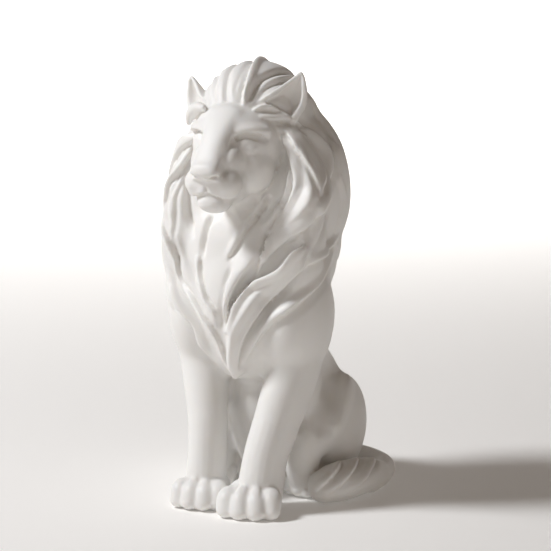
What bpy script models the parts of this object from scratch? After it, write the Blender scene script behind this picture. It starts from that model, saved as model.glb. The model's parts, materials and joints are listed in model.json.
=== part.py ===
# Sitting lion, a figure cast in one piece of white resin.
# Metres, +Z up. It looks toward -Y and +X is its left. The underside is flat at Z = 0.
# The figure is built as a sculptor works: body masses are joined and softened, the head, paws and
# tail are set on them, then the locks of the mane are laid over the surface one by one and the
# fine lines are pressed in. Sizes are shares of the height, written in carving units.
import math

import bmesh
import bpy
import numpy as np
from mathutils import Euler, Vector
from mathutils.bvhtree import BVHTree

# Driving size: the height from the ground to the top of the mane
HEIGHT = 0.295

# One carving unit is a millimetre at the height above
UNIT = HEIGHT / 295.0

# How fine the form is carved, in units, and how many triangles the finished piece may have
CORE_GRAIN = 2.4
FORM_GRAIN = 1.5
TRIANGLES = 9700

# Colour and finish of the resin
RESIN_COLOUR = (0.83, 0.815, 0.79, 1.0)
RESIN_ROUGHNESS = 0.42

# The mane's upright axis stands AXIS_Y behind the origin. Over CROWN_Z the crown is a dome.
AXIS_Y = 10.0
CROWN_Z = 240.0

# A lock's edge stands this share of its height over what it lies on
LOCK_STEP = 0.3

# No part of a long lock rises over this share of its radius
LOCK_RISE = 0.56

# How strongly the strokes of the mane and of the crown are cut, as a share of the heights written
MANE_CUT = 1.35
CROWN_CUT = 1.1

# Within this share of its reach a stroke's raised side rises to its rounded edge
EDGE_SHARE = 0.18

# The grain of the head and of the feet, where the whole isn't carved finer still
HEAD_GRAIN = 1.2
FEET_GRAIN = 1.0

# How many times each stage is softened
CORE_SOFTEN = 12
HEAD_SOFTEN = 12
LOCK_SOFTEN = 6
FEET_SOFTEN = 3
FIGURE_SOFTEN = 1

LEFT_AND_RIGHT = (1, -1)


# Mesh helpers


def link(mesh, name):
    piece = bpy.data.objects.new(name, mesh)
    bpy.context.scene.collection.objects.link(piece)
    return piece


def remove(piece):
    mesh = piece.data
    bpy.data.objects.remove(piece)
    bpy.data.meshes.remove(mesh)


def unit_sphere(name, around, rings):
    mesh = bpy.data.meshes.new(name)
    shell = bmesh.new()
    bmesh.ops.create_uvsphere(shell, u_segments=around, v_segments=rings, radius=1.0)
    shell.to_mesh(mesh)
    shell.free()
    return mesh


def points_of(piece):
    flat = np.empty(len(piece.data.vertices) * 3, np.float32)
    piece.data.vertices.foreach_get("co", flat)
    return flat.reshape(-1, 3).astype(float) / UNIT


def place_points(mesh, points):
    mesh.vertices.foreach_set("co", (points * UNIT).astype(np.float32).ravel())
    mesh.update()


def mesh_from(points, faces, name):
    mesh = bpy.data.meshes.new(name)
    mesh.from_pydata((points * UNIT).tolist(), [], faces)
    shell = bmesh.new()
    shell.from_mesh(mesh)
    bmesh.ops.recalc_face_normals(shell, faces=shell.faces)
    shell.to_mesh(mesh)
    shell.free()
    return link(mesh, name)


def loft(rings, name):
    """A closed skin through rings of points, with both ends capped."""
    per_ring = len(rings[0])
    faces = []
    for i in range(len(rings) - 1):
        for j in range(per_ring):
            here = i * per_ring + j
            beside = i * per_ring + (j + 1) % per_ring
            faces.append((here, here + per_ring, beside + per_ring, beside))
    faces.append(tuple(range(per_ring)))
    faces.append(tuple(range(len(rings) * per_ring - 1, (len(rings) - 1) * per_ring - 1, -1)))
    return mesh_from(np.vstack(rings), faces, name)


def smooth_rings(rings, count):
    """More rings, on smooth curves through the points of the ones given."""
    tracks = [curve_through(track, count) for track in np.swapaxes(np.array(rings), 0, 1)]
    return list(np.swapaxes(np.array(tracks), 0, 1))


def apply_modifier(piece, kind, **settings):
    modifier = piece.modifiers.new(kind.title(), kind)
    for setting, value in settings.items():
        setattr(modifier, setting, value)
    graph = bpy.context.evaluated_depsgraph_get()
    shaped = bpy.data.meshes.new_from_object(piece.evaluated_get(graph))
    rough = piece.data
    piece.modifiers.clear()
    piece.data = shaped
    bpy.data.meshes.remove(rough)


def join(pieces, name):
    whole = bmesh.new()
    for piece in pieces:
        whole.from_mesh(piece.data)
    mesh = bpy.data.meshes.new(name)
    whole.to_mesh(mesh)
    whole.free()
    for piece in pieces:
        remove(piece)
    return link(mesh, name)


def fuse(pieces, name, grain, soften):
    """Joins closed shapes into one skin of even grain and softens it."""
    whole = join(pieces, name)
    apply_modifier(whole, "REMESH", mode="VOXEL", voxel_size=grain * UNIT)
    if soften:
        apply_modifier(whole, "SMOOTH", factor=0.5, iterations=soften)
    return whole


# Clay: balls and limbs


def ball(name, centre, radii, turn=(0, 0, 0), square=2.0):
    """An ellipsoid. A square over 2 fills out its corners."""
    mesh = unit_sphere(name, 32, 20)
    points = np.array([vertex.co for vertex in mesh.vertices])
    length = (np.abs(points) ** square).sum(axis=1) ** (1 / square)
    points = points / length[:, None] * np.array(radii)
    turned = np.array(Euler([math.radians(angle) for angle in turn]).to_matrix())
    place_points(mesh, points @ turned.T + np.array(centre))
    return link(mesh, name)


def pair(name, centre, radii, turn=(0, 0, 0), square=2.0):
    x, y, z = centre
    tilt, lean, swing = turn
    return [
        ball(name, (x, y, z), radii, (tilt, lean, swing), square),
        ball(name, (-x, y, z), radii, (tilt, -lean, -swing), square),
    ]


def curve_through(stations, count):
    """Even points on a smooth curve through the stations. Further columns, such as widths, go along."""
    rows = np.array(stations, float)
    first = 2 * rows[0] - rows[1]
    last = 2 * rows[-1] - rows[-2]
    rows = np.vstack([first, rows, last])
    steps = np.linspace(0, 1, 24, endpoint=False)[:, None]
    spans = []
    for i in range(1, len(rows) - 2):
        before, start, end, after = rows[i - 1 : i + 3]
        bend = 2 * before - 5 * start + 4 * end - after
        twist = 3 * start - before - 3 * end + after
        spans.append(start + 0.5 * ((end - before) * steps + bend * steps**2 + twist * steps**3))
    fine = np.vstack(spans + [rows[-2][None]])
    gaps = np.linalg.norm(np.diff(fine[:, :3], axis=0), axis=1)
    along = np.concatenate([[0.0], np.cumsum(gaps)])
    wanted = np.linspace(0, along[-1], count)
    return np.stack([np.interp(wanted, along, column) for column in fine.T], axis=1)


def unit_rows(rows):
    return rows / np.maximum(np.linalg.norm(rows, axis=1), 1e-9)[:, None]


def limb(name, stations, side=(1, 0, 0), count=40, square=2.0):
    """A limb through stations of (x, y, z, radius) or (x, y, z, half width, half depth). A square
    over 2 fills out the corners of its section."""
    rows = [list(station) + list(station[3:] if len(station) == 4 else []) for station in stations]
    line = curve_through(rows, count)
    ahead = unit_rows(np.gradient(line[:, :3], axis=0))
    side = np.array(side, float)
    across = unit_rows(side - (ahead @ side)[:, None] * ahead)
    deep = np.cross(ahead, across)
    mesh = unit_sphere(name, 20, count + 1)
    points = np.array([vertex.co for vertex in mesh.vertices])
    ring = np.arccos(np.clip(-points[:, 2], -1, 1)) / math.pi * (count + 1)
    radius = np.hypot(points[:, 0], points[:, 1])
    on_ring = radius > 1e-4
    turn_x = np.where(on_ring, points[:, 0] / np.maximum(radius, 1e-6), 0)
    turn_y = np.where(on_ring, points[:, 1] / np.maximum(radius, 1e-6), 0)
    fullness = np.maximum(np.abs(turn_x) ** square + np.abs(turn_y) ** square, 1e-9) ** (1 / square)
    turn_x, turn_y = turn_x / fullness, turn_y / fullness
    station = np.clip(ring - 1, 0, count - 1)

    def along(columns):
        return np.stack([np.interp(station, range(count), column) for column in columns.T], axis=1)

    wide = along(line[:, 3:5])
    skin = along(line[:, :3])
    skin += along(across) * (turn_x * wide[:, 0])[:, None]
    skin += along(deep) * (turn_y * wide[:, 1])[:, None]
    place_points(mesh, skin)
    pieces = [link(mesh, name)]
    for end in (0, -1):
        cap = unit_sphere(name + "_end", 20, 12)
        points = np.array([vertex.co for vertex in cap.vertices])
        width, depth = line[end, 3:5]
        frame = np.stack([across[end], deep[end], ahead[end]])
        place_points(cap, (points * (width, depth, min(width, depth))) @ frame + line[end, :3])
        pieces.append(link(cap, name + "_end"))
    return pieces


def limbs(name, stations, count=40):
    """A limb on the lion's left and its mirror image on the right."""
    pieces = []
    for side in LEFT_AND_RIGHT:
        pieces += limb(name, [(side * row[0], *row[1:]) for row in stations], count=count)
    return pieces


# The body


# The forelegs from the elbow down: x, y, z, half width, half depth
LEFT_LEG = (
    (37, -8, 116, 16, 20),
    (35, -9, 96, 17, 20),
    (31.5, -17, 74, 16.2, 19.5),
    (28, -25, 54, 14.8, 18),
    (25, -32, 36, 14.2, 16.8),
    (23, -37, 12, 15, 17),
)
RIGHT_LEG = (
    (-38, -8, 116, 15, 19),
    (-34, -11, 96, 15.5, 18),
    (-28, -18, 74, 14.2, 16.5),
    (-22.5, -25, 54, 13, 15.5),
    (-19.5, -31, 36, 12.4, 15),
    (-18, -36, 12, 13.2, 15.5),
)


def body_masses():
    pieces = [
        ball("torso", (0, 20, 118), (45, 39, 52)),
        ball("loin", (0, 50, 60), (38, 36, 48), (18, 0, 0)),
        ball("rump", (0, 56, 34), (42, 38, 36)),
        ball("chest", (0, -5, 130), (38, 36, 50)),
        ball("gut", (0, 20, 62), (25, 30, 62)),
    ]
    spine = [(0, 30, 150, 34, 22), (0, 38, 110, 32, 23), (0, 46, 82, 32, 23), (0, 54, 45, 38, 27)]
    pieces += limb("back", spine)
    pieces += pair("shoulder", (34, -6, 124), (24, 31, 42), (0, 6, 0))
    pieces += pair("haunch", (34, 49, 40), (21, 31, 38), (-20, 0, 0))
    pieces += pair("belly", (18, 44, 12), (26, 32, 20))
    pieces += pair("flank", (25, 14, 74), (15, 22, 25))
    thigh = [
        (33, 48, 46, 19, 23),
        (35, 28, 44, 17, 21),
        (34, 10, 38, 14.5, 17),
        (33, 4, 26, 12, 13),
        (33, 8, 12, 11, 11),
    ]
    pieces += limbs("thigh", thigh)
    pieces += limb("left_foreleg", LEFT_LEG)
    pieces += limb("right_foreleg", RIGHT_LEG)
    return pieces


def mane_masses():
    bib_point = [
        (0, -26, 120, 22, 16),
        (1, -29, 106, 14, 11),
        (2.5, -31, 95, 7.5, 7),
        (4, -31.5, 88, 3, 4),
    ]
    pieces = [
        ball("mane", (0, 10, 206), (58, 44, 64), square=2.05),
        ball("mane_low", (0, 6, 168), (53, 46, 50), square=2.2),
        ball("bib", (0, -12, 140), (36, 34, 52)),
        ball("crown", (-1, 3, 249), (38, 42, 44.5), square=2.15),
    ]
    pieces += limb("bib_point", bib_point)
    ruff = [
        (34, -12, 240, 9, 11),
        (42, -15, 214, 12.5, 16),
        (45, -16, 188, 13.5, 17.5),
        (43, -16, 164, 13.5, 17.5),
        (36, -14, 142, 12, 15),
    ]
    return pieces + limbs("ruff", ruff)


# Each toe of a paw: its place across the half width, and how far it reaches
TOES = ((-0.72, 0.8), (-0.26, 0.98), (0.26, 1.0), (0.72, 0.82))

# Each paw: place of its middle, yaw to the lion's left, half width, length ahead of it, height
PAWS = (
    ((20.5, -42), 18, 20.5, 25, 22),
    ((-18.0, -38.5), 12, 18.5, 24, 22),
    ((33, 17), 6, 14, 19, 20),
    ((-33, 17), -6, 14, 19, 20),
)

# A crease between two toes, from the root to the ground: shares of its place across, of the paw's
# length and of its height
CREASE = ((0.8, 0.30, 0.98), (0.95, 0.62, 0.86), (1.0, 0.95, 0.62), (1.0, 1.08, 0.36), (1.0, 1.02, 0.08))


def paw_spot(centre, yaw, sideways, forward, up):
    """A place on a paw, measured from the paw's middle."""
    turn = math.radians(yaw)
    x = centre[0] + sideways * math.cos(turn) + forward * math.sin(turn)
    y = centre[1] + sideways * math.sin(turn) - forward * math.cos(turn)
    return x, y, up


def paw(name, centre, yaw, half, long, high):
    """A paw with four toes. It points the yaw, in degrees, to the lion's left of straight ahead."""

    def lump(sideways, forward, up, radii, tilt=0):
        middle = paw_spot(centre, yaw, sideways, forward, up)
        return ball(name, middle, radii, (tilt, 0, yaw))

    toe = 0.3 * half
    pieces = [
        lump(0, -4, 0.48 * high, (0.9 * half, 0.76 * long, 0.56 * high)),
        lump(0, 0.2 * long, 0.56 * high, (0.88 * half, 0.54 * long, 0.4 * high), 14),
        lump(0, 0.3 * long, 0.16 * high, (0.84 * half, 0.56 * long, 0.2 * high)),
    ]
    for share, reach in TOES:
        tip = share * half
        forward = long * reach
        knuckle = (0.74 - 0.22 * abs(share)) * high
        track = (
            (0.62 * tip, -0.22 * long, 0.82 * knuckle, 0.8, 0.8),
            (0.84 * tip, 0.20 * forward, knuckle, 1.04, 1.0),
            (0.98 * tip, 0.54 * forward, 0.54 * high, 1.16, 1.18),
            (tip, 0.74 * forward, 0.26 * high, 1.14, 0.98),
        )
        stations = [
            (*paw_spot(centre, yaw, sideways, ahead, up), wide * toe, deep * toe)
            for sideways, ahead, up, wide, deep in track
        ]
        pieces += limb(name + "_toe", stations, count=24)
    return pieces


def feet(grain):
    """The four paws, softened into the ends of the legs that stand on them."""
    pieces = []
    for centre, yaw, half, long, high in PAWS:
        pieces += paw("paw", centre, yaw, half, long, high)
    pieces += limb("left_wrist", LEFT_LEG[-3:]) + limb("right_wrist", RIGHT_LEG[-3:])
    for side in LEFT_AND_RIGHT:
        pieces.append(ball("hind_foot", (32 * side, 36, 9), (11, 32, 11)))
    whole = fuse(pieces, "feet", min(grain, FEET_GRAIN), FEET_SOFTEN)
    for centre, yaw, half, long, high in PAWS:
        for middle in (-0.5, 0.0, 0.5):
            crease = [
                paw_spot(centre, yaw, middle * share * half, reach * long, up * high)
                for share, reach, up in CREASE
            ]
            press(whole, crease, width=2.4, depth=2.2)
    return [whole]


def tail():
    rope = [
        (0, 82, 16, 9),
        (22, 88, 11, 8.5),
        (44, 86, 9, 8.3),
        (60, 74, 9, 8.3),
        (66, 56, 9, 9),
        (66, 40, 9, 10),
    ]
    tuft = [
        (66, 50, 10, 10, 10),
        (64, 36, 12, 12.5, 12),
        (60, 20, 12.5, 14.5, 13),
        (56, 8, 12.5, 14, 13),
        (52, 0, 11.5, 11, 11.5),
    ]
    return limb("tail", rope, count=60) + limb("tuft", tuft)


# The head


def head_masses():
    bridge = [
        (0, -36, 262, 13, 7),
        (0, -45, 253, 11, 7),
        (0, -52, 245, 9.8, 7),
        (0, -58, 237, 9.8, 7),
        (0, -64, 230, 10.2, 6),
    ]
    pieces = limb("bridge", bridge, square=3.0)
    pieces += [
        ball("skull", (0, -21, 243), (31, 30, 29)),
        ball("forehead", (0, -36, 252), (22, 13, 13), (-16, 0, 0)),
        ball("nose", (0, -65.6, 227.6), (10.6, 7, 5.4), (-20, 0, 0), square=3.0),
        ball("muzzle", (0, -49, 220), (18, 17.5, 12.5), square=2.3),
        ball("chin", (0, -54.3, 207.4), (12, 10.5, 8.2)),
        ball("jaw", (0, -38, 213), (15, 19, 10), (14, 0, 0)),
    ]
    pieces += pair("cheek", (15.5, -30, 228), (13.5, 16, 18))
    pieces += pair("snout side", (9.5, -50, 232.5), (8.5, 10.5, 11))
    pieces += pair("lip", (9.6, -55.8, 219.4), (10.3, 10.2, 9.8))
    brow = [(7, -45, 251, 3.4), (13, -43.2, 253, 3.6), (20, -39.6, 253.6, 3.6), (27, -33.5, 252, 3)]
    return pieces + limbs("brow", brow)


# Strokes over the left half of the face, mirrored on the right: left, right, then points
FACE_STROKES = (
    # the edge of the nose's bridge
    (
        (0.6, 4), (-0.4, 4),
        ((9.5, -47, 252), (9.4, -52, 245), (9.6, -57, 238), (10, -60, 234)),
    ),
    # the brow's lower edge
    (
        (-4.6, 6), (0.8, 5),
        ((9.5, -48, 248), (14, -45, 250.5), (19, -42, 251.5), (24, -38, 250.5), (29, -32, 247)),
    ),
    # the nose pad's side and underside
    ((-1.6, 3), (0.8, 3), ((9.5, -66, 224.5), (7, -70, 223.4), (4, -72, 222.4), (1, -73, 220))),
    # the mouth: under the nose, then along the lip
    (
        (-2.6, 3.5), (1, 4),
        ((0, -66, 214.5), (4, -65, 212.5), (10, -61.5, 210.8), (15, -57, 211), (20, -50, 214)),
    ),
)


def face(grain):
    """The bare head, its crisp edges moved out by strokes, with half closed eyes set in."""
    head = fuse(head_masses(), "head", min(grain, HEAD_GRAIN), HEAD_SOFTEN)
    apply_modifier(head, "SUBSURF", levels=1, render_levels=1)
    strokes = []
    for left, right, path in FACE_STROKES:
        strokes.append((left, right, path))
        strokes.append((right, left, [(-x, y, z) for x, y, z in path]))
    carve_strokes(head, strokes)
    lid = [
        (9.5, -44.5, 241.5, 1.2),
        (14, -43.5, 245.6, 1.9),
        (19, -41, 246.2, 2.0),
        (24.5, -37, 243.5, 1.2),
    ]
    eyeballs = pair("eyeball", (16.8, -38.8, 240.6), (7.4, 6.4, 5.8), (0, 0, 22))
    return [head] + eyeballs + limbs("lid", lid, count=24)


# The rim of the left ear from its buried base to its tip: inner side, outer side, cup depth, wall
EAR_RIM = (
    ((15, -26, 262), (36, -15, 250), 9, 4.2),
    ((18, -27, 270.5), (40, -13.5, 259), 11, 4.4),
    ((24.5, -24, 275.5), (43.2, -10.5, 266), 11.5, 4.2),
    ((29, -19.5, 279.5), (44, -9.6, 273.5), 9.5, 3.8),
    ((33, -15.3, 283.2), (43.3, -9.7, 280.5), 6, 3.2),
    ((36.5, -12.6, 286.4), (42.2, -10.3, 285.6), 4, 2.4),
    ((38.6, -11.4, 288.6), (40.8, -10.9, 288.6), 2, 1.6),
)
EAR_BACKWARD = (-0.56, 0.81, -0.15)
RIGHT_EAR_DROP = 0.16
RIGHT_EAR_OUT = 3.0


def ears():
    """Cupped ears, each a thin leaf that curls round a hollow. The right one is a little lower."""
    pieces = []
    for side, drop, shift in ((1, 0.0, 0.0), (-1, RIGHT_EAR_DROP, RIGHT_EAR_OUT)):
        backward = np.array(EAR_BACKWARD) * (side, 1, 1)
        rings = []
        for inner, outer, depth, wall in EAR_RIM:
            ends = np.array([inner, outer], float) * (side, 1, 1)
            ends[:, 0] -= shift
            ends[:, 2] -= drop * (ends[:, 2] - EAR_RIM[0][1][2])
            middle = ends.mean(axis=0)
            reach = (ends[0] - ends[1]) / 2
            thin = max(1 - wall / np.linalg.norm(reach), 0.1)
            turns = np.linspace(0, math.pi, 14)[:, None]
            shell = middle + reach * np.cos(turns) + backward * depth * np.sin(turns)
            hollow = middle + reach * thin * np.cos(turns)
            hollow = hollow + backward * max(depth - wall, 0.0) * np.sin(turns)
            rings.append(np.vstack([shell, hollow[::-1]]))
        pieces.append(loft(smooth_rings(rings, 24), "ear"))
    return pieces


# The mane


class Skin:
    """A finished form that locks are laid on."""

    def __init__(self, piece):
        self.tree = BVHTree.FromObject(piece, bpy.context.evaluated_depsgraph_get())

    def nearest(self, point):
        spot, normal, _, _ = self.tree.find_nearest(Vector(point) * UNIT)
        return np.array(spot) / UNIT, np.array(normal)

    def facing(self, centre, direction):
        """The outermost point of the skin as seen from far out along the direction."""
        outward = np.array(direction, float)
        outward /= np.linalg.norm(outward)
        start = np.array(centre) + outward * 200
        spot, _, _, _ = self.tree.ray_cast(Vector(start) * UNIT, Vector(-outward))
        return np.array(spot) / UNIT

    def on_mane(self, turn, height):
        """A point on the mane. The turn is in degrees from straight ahead, positive to the lion's left.
        Over CROWN_Z each further unit of height tilts the aim up by a degree."""
        tilt = math.radians(max(height - CROWN_Z, 0))
        angle = math.radians(turn)
        aim = (math.sin(angle) * math.cos(tilt), -math.cos(angle) * math.cos(tilt), math.sin(tilt))
        return self.facing((0, AXIS_Y, min(height, CROWN_Z)), aim)

    def on_crown(self, sideways, degrees):
        angle = math.radians(degrees)
        return self.facing((0, AXIS_Y, CROWN_Z - 2), (sideways / 46, -math.cos(angle), math.sin(angle)))


def leaf_width(share, root, widest):
    """Half width of a lock along its length, as a share: it swells from the root and ends in a point."""
    swell = root + (1 - root) * np.sin(math.pi / 2 * np.clip(share / widest, 0, 1))
    taper = np.cos(math.pi / 2 * np.clip((share - widest) / (1 - widest), 0, 1)) ** 0.8
    return swell * taper


def ridge_profile(across, crest):
    """Height over a lock's width: two faces that meet in a crest, each ending in a low step."""
    far = np.where(across < crest, 1 + crest, 1 - crest)
    fall = np.clip(np.abs(across - crest) / far, 0, 1)
    return LOCK_STEP + (1 - LOCK_STEP) * (1 - fall**1.4)


def lay_lock(skin, path, half, high, lift, crest, root=0.25, widest=0.4, count=44):
    """A leaf-shaped lock along points near the skin. Its crest runs at the given share of its half
    width, left of the way it runs where that is over 0, and its base stands on the lift."""
    line = curve_through(path, count)[:, :3]
    spots = [skin.nearest(point) for point in line]
    ground = np.array([spot for spot, _ in spots])
    normal = np.array([direction for _, direction in spots])
    for _ in range(3):
        ground[1:-1] = (ground[:-2] + 2 * ground[1:-1] + ground[2:]) / 4
        normal[1:-1] = (normal[:-2] + 2 * normal[1:-1] + normal[2:]) / 4
    normal = unit_rows(normal)
    side = unit_rows(np.cross(unit_rows(np.gradient(ground, axis=0)), normal))
    share = np.linspace(0, 1, count)
    width = np.maximum(half * leaf_width(share, root, widest), 0.15)
    rise = np.sin(math.pi / 2 * np.clip(share / 0.2, 0, 1)) * np.clip((1 - share) / 0.35, 0, 1) ** 0.5
    across = np.unique(np.append(np.linspace(-1, 1, 15), crest))
    profile = ridge_profile(across, crest)
    rings = []
    for i in range(count):
        base = [skin.nearest(spot)[0] for spot in ground[i] + np.outer(across * width[i], side[i])]
        top = np.array(base) + np.outer((lift + profile * high) * rise[i], normal[i])
        under = np.array(base)[-2:0:-3] - 3.0 * normal[i]
        rings.append(np.vstack([top, under]))
    return loft(rings, "lock")


# Long locks that stand out from the mane: how far they rise, then points of (turn, height, radius)
LOCKS = (
    (
        6,
        (
            (46, 259, 2), (55, 249, 8), (65, 223, 13), (62, 212, 12.5), (56, 202, 11), (41, 182, 7),
            (32, 170, 3),
        ),
    ),
    (
        5.2,
        (
            (56, 182, 1.5), (49, 169, 6.5), (30, 149, 9), (20, 138, 8.5), (12, 125, 7.5),
            (4, 100, 4.5), (2, 88, 3),
        ),
    ),
    (
        3,
        (
            (44, 207, 1.5), (32, 189, 6), (21, 174, 7.5), (12, 160, 7.5), (6, 147, 6.5),
            (3, 134, 5), (1, 122, 3),
        ),
    ),
    (
        2.6,
        (
            (-58, 200, 1.5), (-48, 178, 7), (-42, 161, 7), (-24, 136, 6), (-12, 126, 5),
            (-5, 114, 4), (-1, 100, 3),
        ),
    ),
    (
        2.4,
        (
            (-58, 165, 1.5), (-48, 146, 6), (-36, 134, 6), (-26, 120, 5.5), (-17, 106, 4.5),
            (-9, 94, 3.5), (-3, 84, 2.5),
        ),
    ),
)

STROKES = (
    # the great lock beside the cheek: left edge, right edge, crest
    (
        (-2.6, 5), (2.4, 7),
        (
            (36, 259), (42, 251), (47, 238), (48, 227), (48, 218), (45, 207), (40, 198),
            (35, 188), (30, 178), (26.5, 168), (24.5, 160), (21.5, 150), (18, 141),
        ),
    ),
    (
        (2.4, 8), (-3.4, 8),
        (
            (48, 264), (66, 260), (80, 249), (86, 239), (86, 231), (82, 222), (74, 213),
            (65, 204), (57, 195), (49, 186), (40, 177), (31.5, 168.5), (27, 161.5), (23, 153), (19, 143),
        ),
    ),
    (
        (2.2, 8), (2.2, 8),
        (
            (50, 248), (54, 239), (56, 226), (56, 216), (53, 207), (47, 197), (40, 187), (33.5, 177),
            (29, 168), (26, 160), (22, 150),
        ),
    ),
    # the leaf that lies on the great lock: its left and its right edge
    ((-1.8, 4), (1.2, 5), ((46, 255), (50, 246), (54, 236), (58, 226), (60, 218), (61, 210))),
    ((1.2, 5), (-1.6, 4), ((58, 254), (67, 247), (72, 238), (72, 229), (68, 219), (61, 210))),
    # the long lock below it, which ends at the point between the forelegs: top edge, crest, low edge
    ((-6, 12), (3.4, 5), ((53, 181), (44, 170), (38, 163), (19, 151), (10, 139), (0, 119))),
    ((1.4, 5), (1.4, 5), ((52, 178), (34, 153), (24, 145), (9, 122), (6, 112), (0, 90))),
    ((1.4, 4), (-3.6, 7), ((55, 173), (47, 158), (35, 143), (26, 134), (14, 114), (8, 92))),
    # the lock under the chin that bends into the point: crest and the thin line beside it
    ((2, 6), (2, 5), ((40, 196), (28, 179), (13, 158), (8, 149), (1, 133), (1, 125))),
    ((-1.8, 3), (-1.8, 3), ((6, 163), (3, 155), (1, 146), (-1, 136), (-3, 129), (-1, 116))),
    # slits and hollows under the chin
    ((1.4, 5), (-3.2, 5), ((29, 212), (25, 202), (18, 191), (7, 175), (3, 169), (2, 166))),
    ((-3.6, 4), (-3.6, 4), ((-20, 195), (-21, 185), (-22, 175), (-22, 166))),
    ((1.6, 5), (-2.2, 5), ((-26, 168), (-23, 155), (-18, 148), (-13, 140), (-6, 133), (-2, 123))),
    # long lines on the lion's right, from the cheek into the point
    ((1.6, 5), (-2.2, 4.5), ((-55, 192), (-43, 167), (-40, 149), (-26, 139), (-6, 118), (0, 91))),
    ((-1.6, 3), (-1.6, 3), ((-46, 195), (-45, 186), (-43, 177), (-42, 168), (-42, 161))),
    ((-2, 3.5), (1.8, 5), ((-56, 183), (-54, 159), (-45, 140), (-28, 121), (-19, 100), (-6, 87))),
    ((-1.8, 6), (2, 5), ((-60, 158), (-54, 146), (-42, 135), (-25, 112), (-18, 101), (-9, 92))),
    ((-1.4, 4), (1.6, 4), ((-27, 104), (-20, 97), (-12, 90), (-3, 84))),
    # the low soft ridge over the shoulder
    ((2.4, 7), (-1.6, 8), ((92, 166), (80, 158), (64, 149), (48, 138), (34, 126), (22, 110), (13, 96))),
    # the edge of the mane's second layer behind the great lock, and slits in front of it
    (
        (2.2, 6), (-2.6, 7),
        (
            (89, 231), (92, 218), (96, 207), (101, 198), (99, 184), (92, 175), (76, 170),
            (59, 167), (52, 161),
        ),
    ),
    ((-2, 5), (-2, 5), ((58, 204), (57, 194), (56, 184), (53, 175), (53, 164))),
    ((-1.1, 4), (-1.1, 4), ((78, 198), (67, 187), (60, 178), (55, 168))),
    # thin strands beside the left cheek
    ((-1.4, 3.5), (1, 3.5), ((38, 252), (43, 237), (45, 225), (44, 214), (41, 205), (35, 197), (27, 190))),
    ((-1.2, 3), (-1.2, 3), ((39, 244), (42, 230), (43, 220), (42, 210), (38, 203), (30, 196))),
    # thin strands beside the right cheek
    ((1.6, 5), (-2.2, 4.5), ((-44, 237), (-45, 228), (-47, 221), (-52, 212), (-53, 203), (-55, 195))),
    (
        (-1.7, 3.2), (-1.7, 3.2),
        ((-45, 232), (-45, 222), (-46, 217), (-51, 197), (-48, 186), (-44, 178)),
    ),
    ((-1.7, 3), (-1.7, 3), ((-44, 223), (-44, 214), (-45, 205), (-45, 196), (-44, 184))),
    ((-2.4, 4), (-2.4, 4), ((-43, 217), (-42, 208), (-42, 196), (-38, 185), (-33, 177))),
    ((-2.4, 5), (-2.4, 5), ((-54, 245), (-53, 237), (-57, 230), (-54, 224))),
    # strands that sweep back over the temple under the left ear, and the hollow below them
    ((2, 5), (-2, 4), ((18, 268), (28, 273), (36, 273), (45, 270), (52, 267), (61, 261))),
    ((-0.9, 3), (-0.9, 3), ((22, 267), (30, 269), (38, 269), (48, 267), (55, 262))),
    ((-2.8, 5), (2, 5), ((21, 261), (28, 262), (36, 262), (47, 262), (61, 260), (73, 256))),
)

# Hollows round the face, on both sides
COLLAR_STROKES = (
    ((-8, 15), (-8, 15), ((44, 246), (38, 232), (31, 216), (23, 206), (14, 200), (7, 196))),
)

# Lines over the crown: left, right, then points of (sideways, degrees over the crown from the front)
CROWN_STROKES = (
    ((-1.8, 3.5), (-1.8, 3.5), ((-19, 30), (-27, 48), (-34, 66), (-42, 95), (-46, 130))),
    ((-2, 3.5), (-2, 3.5), ((-13, 29), (-20.3, 46), (-26, 62), (-38, 125), (-42, 155))),
    ((-1.8, 3.5), (-1.8, 3.5), ((-7, 27), (-13, 44), (-17, 60), (-30, 130), (-34, 155))),
    ((-2.2, 3.5), (-2.2, 3.5), ((1.5, 22), (-5, 48), (-8.2, 62), (-12, 85), (-24, 150))),
    ((-1.2, 2.5), (-1.2, 2.5), ((3.5, 36), (1.5, 46), (0.5, 60), (-3, 80), (-8, 110))),
    ((2.6, 6), (-4, 5), ((8, 30), (6.3, 45), (5.1, 56), (-4, 100), (-6, 145))),
    ((-3.6, 4.5), (-3.6, 4.5), ((10.4, 33), (12.2, 50), (14.9, 64), (20, 110), (26, 145))),
    ((-3.2, 4.5), (-3.2, 4.5), ((14.1, 35), (17.5, 50), (22.1, 63), (30, 105), (36, 140))),
    ((-2.2, 4), (-2.2, 4), ((20, 39), (27, 56), (34, 75), (41, 105), (44, 135))),
)

# Locks on the lion's right flank, set like those of the front
FLANK_LOCKS = (
    (
        7.5, 4.2, 1.6, 0.5, 0.3, 0.45,
        ((-46, 246), (-60, 234), (-69, 218), (-74, 202), (-72, 186), (-62, 170)),
    ),
    (
        8, 4.2, 1.2, 0.5, 0.3, 0.45,
        ((-60, 256), (-76, 246), (-87, 228), (-92, 206), (-84, 182), (-62, 154)),
    ),
    (
        7.5, 4, 1, 0.5, 0.3, 0.45,
        ((-74, 264), (-94, 250), (-106, 232), (-110, 208), (-104, 186), (-92, 166)),
    ),
    (
        8, 4.2, 1.2, 0.5, 0.3, 0.45,
        ((-82, 228), (-78, 206), (-72, 184), (-64, 164), (-56, 146), (-44, 128)),
    ),
)


def flank_locks(skin):
    locks = []
    for half, high, lift, crest, root, widest, path in FLANK_LOCKS:
        spots = [skin.on_mane(turn, height) for turn, height in path]
        locks.append(lay_lock(skin, spots, half, high, lift, crest, root, widest))
    return locks


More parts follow.
